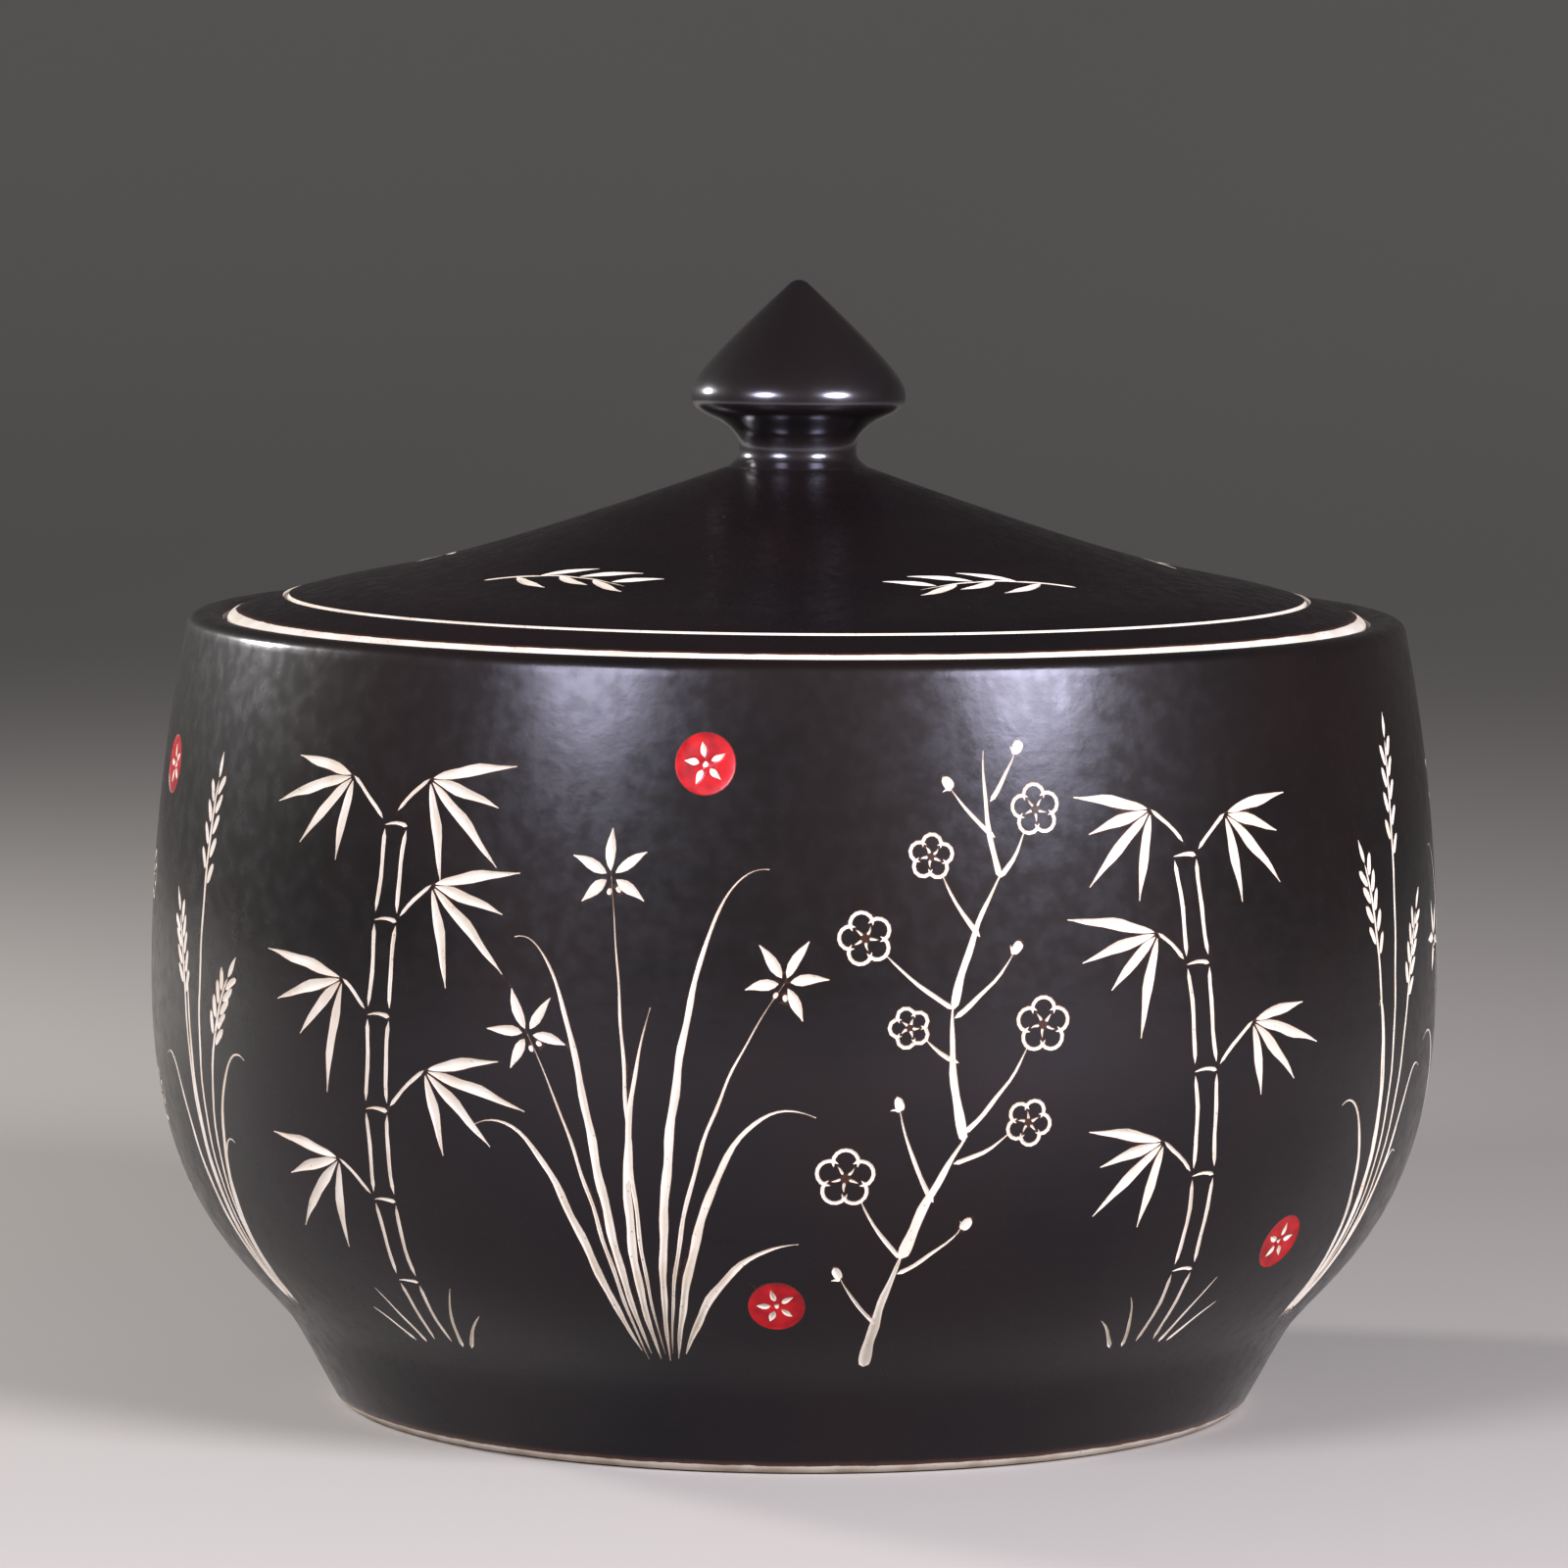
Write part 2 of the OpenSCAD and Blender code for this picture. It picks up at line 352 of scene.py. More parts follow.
def revolved(
    section: Section, glazing: Glazing, first: str, last: str, segments: int, carved: str | None = None
) -> Patch:
    """The surface that a stretch of a section sweeps round the axis.

    A point is (radius cos a, radius sin a, height), with a from the seam once round in even steps.

    Args:
        section: The piece's section.
        glazing: Where its glaze lies.
        first: Name of the stretch's first part.
        last: Name of its last part.
        segments: Steps round the axis.
        carved: Name of a part that is a cut, or None.

    Returns:
        The swept patch.
    """
    rows = section.rows(first, last)
    share = np.arange(segments + 1) / segments
    spin = outwards(share)

    def turned(flat: Array) -> Array:
        """A column of pairs, out and up, carried round the axis."""
        out = flat[:, None, :1] * spin
        return np.concatenate([out, np.broadcast_to(flat[:, None, 1:], (*out.shape[:2], 1))], axis=-1)

    def cells(low: Array, high: Array) -> Array:
        """The corners of each cell's two triangles, from the rows below the cells and those above them."""
        return np.stack([low[:, :-1], low[:, 1:], high[:, 1:], low[:, :-1], high[:, 1:], high[:, :-1]], axis=2)

    points = turned(section.points[rows])
    number = np.arange(points[..., 0].size).reshape(points.shape[:2])
    quads = cells(number[:-1], number[1:])
    facings = cells(turned(section.leaving[rows][:-1]), turned(section.arriving[rows][1:]))
    arc = section.arc[rows]
    place = np.stack(np.broadcast_arrays(share, (arc / section.length)[:, None]), axis=-1)
    chart = cells(place[:-1], place[1:])
    middle = (arc[:-1] + arc[1:]) / 2
    cut, cut_reach = np.zeros(len(middle)), np.full(len(arc), FAR)
    if carved:
        start, *_, end = section.arc[section.rows(carved)]
        cut = ((middle > start) & (middle < end)).astype(float)
        cut_reach = np.clip(np.maximum(start - arc, arc - end), -FAR, FAR)
    return Patch(
        points.reshape(-1, 3), quads.reshape(-1, 3), facings.reshape(-1, 3, 3), chart.reshape(-1, 3, 2),
        np.repeat(glazing.reach(arc), segments + 1), np.repeat(cut_reach, segments + 1),
        np.repeat(cut, 2 * segments), np.zeros(2 * segments * len(middle)),
    )


# Cuts in the glaze


class Taper(Enum):
    """How a stroke's width runs from its start to its end."""

    LEAF = "leaf"
    TAIL = "tail"
    STEM = "stem"
    GRAIN = "grain"

    def shares(self, t: Array) -> Array:
        """The width at shares t of the way, as shares of the widest place.

        A leaf is the sine of pi t^0.75. A tail falls off as (1 - t)^0.6 behind a start as round as a
        circle. A stem and a grain are the root of 1 - |2t - 1|^n, with n of 14 and 2.6.

        Args:
            t: Shares of the way.

        Returns:
            Shares of the widest place, never quite zero.
        """
        round_start = np.sqrt(np.clip(1 - (1 - np.clip(t / ROUND_START, 0, 1)) ** 2, 0, 1))
        widths = {
            Taper.LEAF: np.sin(np.pi * t**0.75),
            Taper.TAIL: round_start * (1 - t) ** 0.6,
            Taper.STEM: np.sqrt(np.clip(1 - np.abs(2 * t - 1) ** 14, 0, 1)),
            Taper.GRAIN: np.sqrt(np.clip(1 - np.abs(2 * t - 1) ** 2.6, 0, 1)),
        }
        return np.maximum(widths[self], THINNEST)


@dataclass(frozen=True)
class Stroke:
    """One cut of the carving tool: the line it follows, and half its width at each point of the line."""

    line: Array
    half: Array

    def near(self, points: Array, spare: float) -> Array:
        """Numbers of the points in a box round the line, with a spare distance on each side."""
        low, high = self.line.min(axis=0) - spare, self.line.max(axis=0) + spare
        return np.flatnonzero(((points > low) & (points < high)).all(axis=1))

    def row(self, share: float, spare: float = 0.0) -> Array:
        """The line moved to its left by a share of the half width, and a spare distance further."""
        away = (share * self.half + math.copysign(spare, share))[:, None]
        return self.line + away * sideways(np.gradient(self.line, axis=0))

    def holds(self, points: Array) -> Array:
        """Finds the points inside the outline, where the edges wind round the point at least once.

        Args:
            points: Points of the plane, one a row.

        Returns:
            True for each point inside.
        """
        loop = np.vstack([self.row(1), self.row(-1)[::-1]])
        start, end = loop[:, None], np.roll(loop, -1, axis=0)[:, None]
        run, offset = end - start, points - start
        left = run[..., 0] * offset[..., 1] - run[..., 1] * offset[..., 0]
        rises = (start[..., 1] <= points[:, 1]) & (end[..., 1] > points[:, 1]) & (left > 0)
        falls = (start[..., 1] > points[:, 1]) & (end[..., 1] <= points[:, 1]) & (left < 0)
        return rises.sum(axis=0) != falls.sum(axis=0)

    def moved(self, place: tuple[float, float], turn: float, scale: float, mirror: bool) -> "Stroke":
        """The stroke elsewhere.

        Args:
            place: Where its origin goes.
            turn: Angle that it is turned by first, in degrees.
            scale: Size that it is brought to before that.
            mirror: Whether its left and right are changed over before all.

        Returns:
            The moved stroke.
        """
        line = self.line * [-scale if mirror else scale, scale]
        across, up = along(turn), along(turn + 90)
        return Stroke(line[:, :1] * across + line[:, 1:] * up + np.asarray(place, float), self.half * scale)


@dataclass(frozen=True)
class Medallion:
    """A small round field, sunk a little and filled with red enamel."""

    middle: tuple[float, float]
    radius: float = 6.8
    sink: float = 0.22
    bank: float = 0.5

    INNER_RINGS = (0.7, 0.4, 0.15)  # shares of the radius
    PETALS, PETAL, PETAL_HALF, PETAL_GAP = 5, 3.3, 0.75, 1.5
    DOT, DOT_HALF = 1.2, 0.6

    def reach(self, points: Array) -> Array:
        """Distance of each point from the rim, below zero inside."""
        return np.linalg.norm(points - self.middle, axis=1) - self.radius

    def rings(self) -> list[Array]:
        """Rings of points on the rim, at the foot of its bank and further in, four points to the radius' millimetre."""
        radii = [self.radius, self.radius - self.bank, *(share * self.radius for share in self.INNER_RINGS)]
        return [r * along(np.arange(0, 360, 360 / max(6, round(4 * r)))) + self.middle for r in radii]

    def strokes(self, turn: float) -> list[Stroke]:
        """Short petals round a dot, for its middle.

        Args:
            turn: Angle of the first petal, in degrees.

        Returns:
            The strokes.
        """
        out = []
        for angle in turn + np.arange(self.PETALS) * 360 / self.PETALS:
            root = self.middle + self.PETAL_GAP * along(angle)
            out.append(flick(root, angle, self.PETAL, 0, self.PETAL_HALF, Taper.LEAF))
        dot_start = np.asarray(self.middle, float) - (self.DOT / 2, 0)
        return [*out, flick(dot_start, 0, self.DOT, 0, self.DOT_HALF, Taper.GRAIN)]


class Relief:
    """All the cuts of one field, and how deep it is cut at any point."""

    DEEPEST = 0.6
    SHALLOW = 0.16
    SLOPE = 0.5

    def __init__(self, strokes: list[Stroke], medallions: list[Medallion]) -> None:
        """Keeps the strokes and medallions of the field."""
        self.strokes, self.medallions = strokes, medallions

    def measure(self, points: Array) -> tuple[Array, Array, Array, Array]:
        """Distances and depths at points of the field.

        In a stroke, the depth falls from its deepest line to its edge as a power of 1 - share^2, where
        share is the distance from the line over the half width. Where cuts cross, the deepest counts.

        Args:
            points: Points of the field, one a row.

        Returns:
            The distance from the nearest stroke's edge, from the nearest medallion's rim, the depth, and
            the distance from the nearest of either, all below zero inside.
        """
        reach = np.full(len(points), FAR)
        depth = np.zeros(len(points))
        for stroke in self.strokes:
            near = stroke.near(points, stroke.half.max() + FAR)
            start, run = stroke.line[:-1], np.diff(stroke.line, axis=0)
            offset = points[near, None] - start
            t = np.clip((offset * run).sum(axis=2) / (run**2).sum(axis=1), 0, 1)
            distance = np.linalg.norm(offset - t[..., None] * run, axis=2)
            half = stroke.half[:-1] + t * np.diff(stroke.half)
            best = (distance - half).argmin(axis=1)
            pick = np.arange(len(near)), best
            reach[near] = np.minimum(reach[near], distance[pick] - half[pick])
            bottom = np.minimum(self.DEEPEST, self.SHALLOW + self.SLOPE * half[pick])
            share = np.clip(distance[pick] / half[pick], 0, 1)
            depth[near] = np.maximum(depth[near], bottom * (1 - share**2) ** GROOVE_POWER)
        rim = np.full(len(points), FAR)
        for medallion in self.medallions:
            inside = medallion.reach(points)
            rim = np.minimum(rim, inside)
            sunk = medallion.sink * np.clip(-inside / medallion.bank, 0, 1)
            depth = np.where(sunk > 0, np.maximum(depth + sunk * (depth > 0), sunk), depth)
        return reach, rim, depth, np.minimum(reach, rim)

    def cut(self, points: Array) -> Array:
        """Finds the points inside a stroke's outline.

        Args:
            points: Points of the field, one a row.

        Returns:
            True for each point inside.
        """
        inside = np.zeros(len(points), bool)
        for stroke in self.strokes:
            near = stroke.near(points, stroke.half.max())
            inside[near] |= stroke.holds(points[near])
        return inside


class Field(Protocol):
    """A part of a surface that is drawn on in a plane and then laid on the piece."""

    section: Section
    glazing: Glazing

    def frame(self) -> tuple[Array, Array]:
        """The border's points and the pairs of them that are its edges."""

    def ground(self) -> Array:
        """Points spread evenly over the field, the border's left out."""

    def outside(self, points: Array) -> Array:
        """True for the points of the plane that aren't in the field."""

    def laid(self, points: Array) -> tuple[Array, Array, Array, Array]:
        """Share of a turn from the seam, radius, length along the section and height of each point."""


@dataclass
class WallField:
    """The jar's outer wall: how far round at the belly, and how far up along the section."""

    section: Section
    glazing: Glazing
    part: str
    belly_radius: float
    segments: int
    pitch: float = 5.2

    @property
    def width(self) -> float:
        """Once round the belly."""
        return FULL_TURN * self.belly_radius

    @property
    def start(self) -> float:
        """Length of the section below the field."""
        return float(self.section.arc[self.section.rows(self.part)][0])

    @property
    def height(self) -> float:
        """Length of the section in the field."""
        return float(self.section.arc[self.section.rows(self.part)][-1]) - self.start

    def frame(self) -> tuple[Array, Array]:
        """The rectangle's border.

        Returns:
            Its points and its edges.
        """
        across = self.width * np.arange(self.segments + 1) / self.segments
        up = np.linspace(0, self.height, round(self.height / self.pitch) + 1)[1:-1]
        low, left = np.column_stack([across, 0 * across]), np.column_stack([0 * up, up])
        loop = np.vstack([low, left + [self.width, 0], (low + [0, self.height])[::-1], left[::-1]])
        number = np.arange(len(loop))
        return loop, np.column_stack([number, np.roll(number, -1)])

    def ground(self) -> Array:
        """Rows of points, each second row moved by half a step.

        Returns:
            The points.
        """
        columns = round(self.width / self.pitch)
        rows = round(self.height / self.pitch)
        x, y = np.meshgrid(np.arange(columns) + 0.5, np.arange(1, rows))
        x = (x + 0.5 * (y % 2) - 0.25) / columns
        return np.column_stack([x.ravel() * self.width, y.ravel() / rows * self.height])

    def outside(self, points: Array) -> Array:
        """Nothing of the rectangle is left out."""
        return np.zeros(len(points), bool)

    def laid(self, points: Array) -> tuple[Array, Array, Array, Array]:
        """Rolls the plane round the axis and up along the section.

        Args:
            points: Points of the plane.

        Returns:
            Share of a turn, radius, length along the section and height of each.
        """
        arc = self.start + points[:, 1]
        radius, height = (np.interp(arc, self.section.arc, self.section.points[:, k]) for k in range(2))
        return points[:, 0] / self.width, radius, arc, height


@dataclass
class TopField:
    """The lid's sloping top, drawn as it is seen from above."""

    section: Section
    glazing: Glazing
    part: str
    segments: int
    pitch: float = 4.6
    fewest: int = 36

    @property
    def rims(self) -> tuple[float, float]:
        """Radii of the inner and the outer border."""
        radii = self.section.points[self.section.rows(self.part), 0]
        return float(radii[-1]), float(radii[0])

    def ring(self, radius: float, count: int) -> Array:
        """Points evenly round the axis, the first on the seam."""
        angle = SEAM_ANGLE + FULL_TURN * np.arange(count) / count
        return radius * np.column_stack([np.cos(angle), np.sin(angle)])

    def frame(self) -> tuple[Array, Array]:
        """The two border rings, and the seam between them.

        Returns:
            Their points and their edges.
        """
        inner, outer = self.rims
        steps = round((outer - inner) / self.pitch)
        along_seam = np.linspace(inner, outer, steps + 1)[1:-1, None] * along(math.degrees(SEAM_ANGLE))
        number = np.arange(self.segments)
        loops = np.column_stack([number, np.roll(number, -1)])
        seam = np.concatenate([[0], 2 * self.segments + np.arange(len(along_seam)), [self.segments]])
        points = np.vstack([self.ring(inner, self.segments), self.ring(outer, self.segments), along_seam])
        return points, np.vstack([loops, loops + self.segments, np.column_stack([seam[:-1], seam[1:]])])

    def ground(self) -> Array:
        """Rings of points with fewer points in the smaller ones.

        Returns:
            The points.
        """
        inner, outer = self.rims
        steps = round((outer - inner) / self.pitch)
        radii = np.linspace(inner, outer, steps + 1)[1:-1]
        rings = [self.ring(r, max(self.fewest, round(FULL_TURN * r / self.pitch)))[1:] for r in radii]
        return np.vstack(rings)

    def outside(self, points: Array) -> Array:
        """True within the inner border."""
        return np.linalg.norm(points, axis=1) < self.rims[0] * math.cos(math.pi / self.segments) - WELD

    def laid(self, points: Array) -> tuple[Array, Array, Array, Array]:
        """Lifts the plane to the height of the section at each radius.

        Args:
            points: Points of the plane.

        Returns:
            Share of a turn, radius, length along the section and height of each.
        """
        rows = self.section.rows(self.part)
        known, heights = self.section.points[rows][::-1].T
        radius = np.linalg.norm(points, axis=1)
        turn = (np.arctan2(points[:, 1], points[:, 0]) - SEAM_ANGLE) / FULL_TURN % 1
        turn = np.where(turn > 1 - TINY, 0.0, turn)
        arc = np.interp(radius, known, self.section.arc[rows][::-1])
        return turn, radius, arc, np.interp(radius, known, heights)


def carved_patch(ground: Field, relief: Relief) -> Patch:
    """The surface of a field with its cuts.

    The field's border, the strokes' outlines and the medallions' rims are edges of the triangles, and
    rows of points along each stroke and beside it give the grooves their round bottom and clean edge.
    Each point is then sunk below the section's surface, along its facing, by the depth there.

    Args:
        ground: The field.
        relief: Its cuts.

    Returns:
        The carved patch.
    """
    points, edges = ground.frame()
    lines, loops = [points], [edges]
    count = len(points)

    def put(more: Array, closed: bool = False) -> None:
        """Adds points.

        Args:
            more: The points, one a row.
            closed: Whether the loop through them is made of edges.
        """
        nonlocal count
        lines.append(more)
        if closed:
            number = count + np.arange(len(more))
            loops.append(np.column_stack([number, np.roll(number, -1)]))
        count += len(more)

    loose = [ground.ground()]
    for stroke in relief.strokes:
        put(np.vstack([stroke.row(1), stroke.row(-1)[::-1]]), closed=True)
        for share in INNER_ROWS:
            put(stroke.row(share)[1:-1])
        loose += [stroke.row(1, BESIDE), stroke.row(-1, BESIDE)]
    for medallion in relief.medallions:
        rings = medallion.rings()
        put(rings[0], closed=True)
        put(rings[1], closed=True)
        loose += rings[2:]
    spread = np.vstack(loose)
    reach, rim, _, nearest = relief.measure(spread)
    beside = np.arange(len(spread)) >= len(loose[0])
    clear = nearest > np.where(beside, CLEAR_BESIDE, CLEAR)
    in_rim = beside & (rim < -RIM_DEPTH) & (reach > RIM_CLEAR)
    put(spread[clear | in_rim])
    points = np.vstack(lines)
    found = delaunay_2d_cdt(points.tolist(), np.vstack(loops).tolist(), [], WITHIN_BORDER, WELD, True)
    spots = np.array(list(map(tuple, found[0])))
    sources = np.fromiter(map(len, found[3]), int, len(spots))
    known = sources > 0  # these came in as given, and get their places back in full precision
    firsts = np.fromiter(chain.from_iterable(found[3]), int)[(np.cumsum(sources) - sources)[known]]
    spots[known] = points[firsts]
    triangles = np.array(found[2])
    a, b, c = (spots[triangles[:, k]] for k in range(3))
    area = (b[:, 0] - a[:, 0]) * (c[:, 1] - a[:, 1]) - (b[:, 1] - a[:, 1]) * (c[:, 0] - a[:, 0])
    triangles = np.where((area < 0)[:, None], triangles[:, ::-1], triangles)
    middles = spots[triangles].mean(axis=1)
    within = ~ground.outside(middles)
    triangles, middles = triangles[within], middles[within]

    depth, nearest = relief.measure(spots)[2:]
    carved = relief.cut(middles)
    enamel = (relief.measure(middles)[1] < 0) & ~carved
    turn, radius, arc, height = ground.laid(spots)
    spin = outwards(turn)
    out, up = (np.interp(arc, ground.section.arc, ground.section.facing[:, k]) for k in range(2))
    facing = np.column_stack([out[:, None] * spin, up])
    places = np.column_stack([radius[:, None] * spin, height]) - depth[:, None] * facing

    corners = places[triangles]
    slopes = np.cross(corners[:, 1] - corners[:, 0], corners[:, 2] - corners[:, 0])
    sunk = carved | enamel
    shared = np.zeros_like(places)
    for k in range(3):
        np.add.at(shared, triangles[sunk, k], slopes[sunk])
    shared /= np.maximum(np.linalg.norm(shared, axis=1, keepdims=True), TINY)
    facings = np.where(sunk[:, None, None], shared[triangles], facing[triangles])

    middle_turn = ground.laid(middles)[0]
    turns = turn[triangles]
    turns = turns + np.round(middle_turn[:, None] - turns)
    chart = np.stack([turns, arc[triangles] / ground.section.length], axis=-1)
    return Patch(
        places, triangles, facings, chart, ground.glazing.reach(arc), nearest,
        carved.astype(float), enamel.astype(float),
    )


# The drawing

HAND_SWAY = 0.16  # how far a stroke strays from its curve
HAND_PRESSURE = 0.09  # how much its width varies
HAND_LENGTH = 2.6  # length of the waves of both
HAND_SPEEDS = (1.0, 1.3, 1.7)  # how fast the sway across, the sway up and the pressure run
HAND_PHASE = np.array([0.37, 0.61])  # sets each stroke off by its ends' places
PATH_STEPS = 100  # steps that places along a stem are counted in
FINE_STEPS = 64  # steps that a curve's length is measured with
FEWEST_POINTS = 7  # of a stroke
LONG_PITCH = 3.0  # usual distance between the points of a long, nearly straight stroke
FLICK_PULLS = (0.35, 0.35)
ARCH_DEGREES = 60  # radius in millimetres times degrees for one point of an arch


def brushed(lead: Array, half: float, taper: Taper, pitch: float = 2.0) -> Stroke:
    """A stroke along a cubic curve, with its points closer together near its ends.

    At an even share e of the points, the share of the way is e / 2 + (1 - cos(pi e)) / 4. The hand's sway
    moves the line by a sine across and a cosine up of the way along it, less near the ends, and its
    pressure varies the width by a sine of the way.

    Args:
        lead: The curve's four leads.
        half: Half of its width where it is widest.
        taper: How its width runs.
        pitch: Usual distance between its points.

    Returns:
        The stroke.
    """
    fine = cubic(lead, FINE_STEPS)
    arc = np.concatenate([[0], np.cumsum(np.linalg.norm(np.diff(fine, axis=0), axis=1))])
    even = np.linspace(0, 1, max(FEWEST_POINTS, math.ceil(arc[-1] / pitch) + 1))
    share = even / 2 + (1 - np.cos(np.pi * even)) / 4
    line = np.column_stack([np.interp(share * arc[-1], arc, fine[:, k]) for k in range(2)])
    phase = float(fine[0] @ HAND_PHASE + fine[-1] @ HAND_PHASE[::-1])
    across, up, press = (speed * share * arc[-1] / HAND_LENGTH for speed in HAND_SPEEDS)
    sway = np.column_stack([np.sin(across + phase), np.cos(up + phase)])
    line += HAND_SWAY * np.sin(np.pi * share)[:, None] * sway
    pressure = 1 + HAND_PRESSURE * np.sin(press + 2 * phase)
    return Stroke(line, half * taper.shares(share) * pressure)


def flick(start: Array, heading: float, length: float, bend: float, half: float, taper: Taper) -> Stroke:
    """A stroke of one length that leaves on a heading and bends by some degrees on its way.

    Args:
        start: Its first point.
        heading: Heading there, in degrees.
        length: Straight distance to its end.
        bend: Degrees that it turns to the left.
        half: Half of its width where it is widest.
        taper: How its width runs.

    Returns:
        The stroke.
    """
    start = np.asarray(start, float)
    end = start + length * along(heading + bend / 2)
    return brushed(leads(start, heading, end, heading + bend, FLICK_PULLS), half, taper)


def arched(middle: Array, radius: float, start: float, sweep: float, half: float) -> Stroke:
    """A thin even stroke along a part of a circle, from one angle and over a sweep in degrees."""
    share = np.linspace(0, 1, max(FEWEST_POINTS, round(radius * abs(sweep) / ARCH_DEGREES)))
    return Stroke(np.asarray(middle, float) + radius * along(start + sweep * share), half * Taper.STEM.shares(share))


def bearing(run: Array) -> float:
    """Heading of a step, in degrees from level."""
    return math.degrees(math.atan2(run[1], run[0]))


def by_turns(number: int) -> int:
    """One for an odd number and minus one for an even one."""
    return 1 if number % 2 else -1


class Motif(Protocol):
    """A plant drawn with strokes, standing on the origin of a plane."""

    def strokes(self) -> list[Stroke]:
        """The strokes of the drawing."""


@dataclass(frozen=True)
class Bamboo:
    """A stalk drawn as two thin lines, with a ring at each joint and fans of leaves."""

    height: float = 146.0
    joints: int = 6
    width: float = 5.0
    sweep: float = 9.0
    leaf: float = 25.0
    fan: tuple[float, ...] = (14.0, -12.0, -40.0, -74.0)
    grass: tuple[tuple[float, float, float], ...] = ((-9, 118, 15), (-6, 100, 21), (7, 78, 18), (11, 60, 13))

    LEAN_POWER = 1.6
    STALK_TOP, LAST_TWIG = 0.9, 0.92  # shares of the height
    LINE_HALF, JOINT_GAP, WAIST, WAIST_SHARES = 0.5, 1.4, 0.55, (0.3, 0.7)
    RING_HALF, RING_OVER, RING_SINK, RING_HEADING = 0.55, 0.6, 0.5, 14.0
    TWIG, TWIG_MORE, TWIG_HALF, TWIG_ROOT, TWIG_HEADING, TWIG_BEND = 9.0, 2.0, 0.42, (1.5, 0.8), 48.0, 12.0
    LEAF_LESS, LEAF_HALF, LEAF_GAP, LEAF_BEND = 0.14, 1.25, 1.2, 9.0
    GRASS_HALF, GRASS_BEND = 0.6, 18.0

    def middle(self, height: float) -> Array:
        """The stalk's middle at a height, on a curve that leans over as a power of the height."""
        return np.array([self.sweep * (height / self.height) ** self.LEAN_POWER, height])

    def strokes(self) -> list[Stroke]:
        """The lines of each length of the stalk, its joints, and a fan of leaves at every joint but the first.

        Returns:
            The strokes.
        """
        out = []
        edge = self.width / 2
        heights = np.linspace(0, self.height * self.STALK_TOP, self.joints + 1)
        for number, (low, high) in enumerate(zip(heights[:-1], heights[1:])):
            start, end = self.middle(low + self.JOINT_GAP), self.middle(high - self.JOINT_GAP)
            for side in (-1, 1):
                waist = start + np.outer(self.WAIST_SHARES, end - start) + [side * edge, 0]
                ends = np.array([start, end]) + [side * (edge + self.WAIST), 0]
                out.append(brushed([ends[0], *waist, ends[1]], self.LINE_HALF, Taper.STEM, LONG_PITCH))
            ring = self.middle(high)
            over, tilt = edge + self.RING_OVER, self.RING_HEADING
            out.append(flick(ring - [over, self.RING_SINK], tilt, 2 * over, -2 * tilt, self.RING_HALF, Taper.TAIL))
            if number:
                side = by_turns(number)
                out += self.spray(ring + [side * (edge + self.TWIG_ROOT[0]), self.TWIG_ROOT[1]], side, number)
        out += self.spray(self.middle(self.height * self.LAST_TWIG), by_turns(self.joints), 1)
        for x, heading, length in self.grass:
            bend = math.copysign(self.GRASS_BEND, heading - 90)
            out.append(flick(np.array([x, 0.0]), heading, length, bend, self.GRASS_HALF, Taper.TAIL))
        return out

    def spray(self, start: Array, side: int, number: int) -> list[Stroke]:
        """A twig that rises to one side, with a fan of hanging leaves at its end.

        Args:
            start: Where the twig leaves the stalk.
            side: One for the right, minus one for the left.
            number: Number of the joint, which varies the leaves a little.

        Returns:
            The strokes.
        """
        rise = self.TWIG_HEADING if side > 0 else 180 - self.TWIG_HEADING
        length = self.TWIG + self.TWIG_MORE * (number % 3)
        out = [flick(start, rise, length, -self.TWIG_BEND * side, self.TWIG_HALF, Taper.STEM)]
        tip = out[0].line[-1]
        for rank, angle in enumerate(self.fan):
            heading = angle if side > 0 else 180 - angle
            root = tip + self.LEAF_GAP * along(heading)
            length = self.leaf * (1 - self.LEAF_LESS * ((rank + number) % 3))
            out.append(flick(root, heading, length, -self.LEAF_BEND * side, self.LEAF_HALF, Taper.LEAF))
        return out


@dataclass(frozen=True)
class Blade:
    """A long leaf: where it is rooted, the place it is pulled towards on its way up, and its tip."""

    root: float
    pull: tuple[float, float]
    tip: tuple[float, float]

    ROOT_RISE, ROOT_WAVE = 1.5, 2.3

    def stroke(self, half: float, height: float) -> Stroke:
        """The leaf, with its root a little higher or lower by a cosine of its place.

        Args:
            half: Half of its width where it is widest.
            height: Height of the plant, of which the pull and the tip are shares.

        Returns:
            The stroke.
        """
        start = np.array([self.root, self.ROOT_RISE * math.cos(self.ROOT_WAVE * self.root)])
        pull, tip = np.asarray(self.pull) * height, np.asarray(self.tip) * height
        return brushed(np.array([start, (start + pull) / 2, pull, tip]), half, Taper.LEAF)


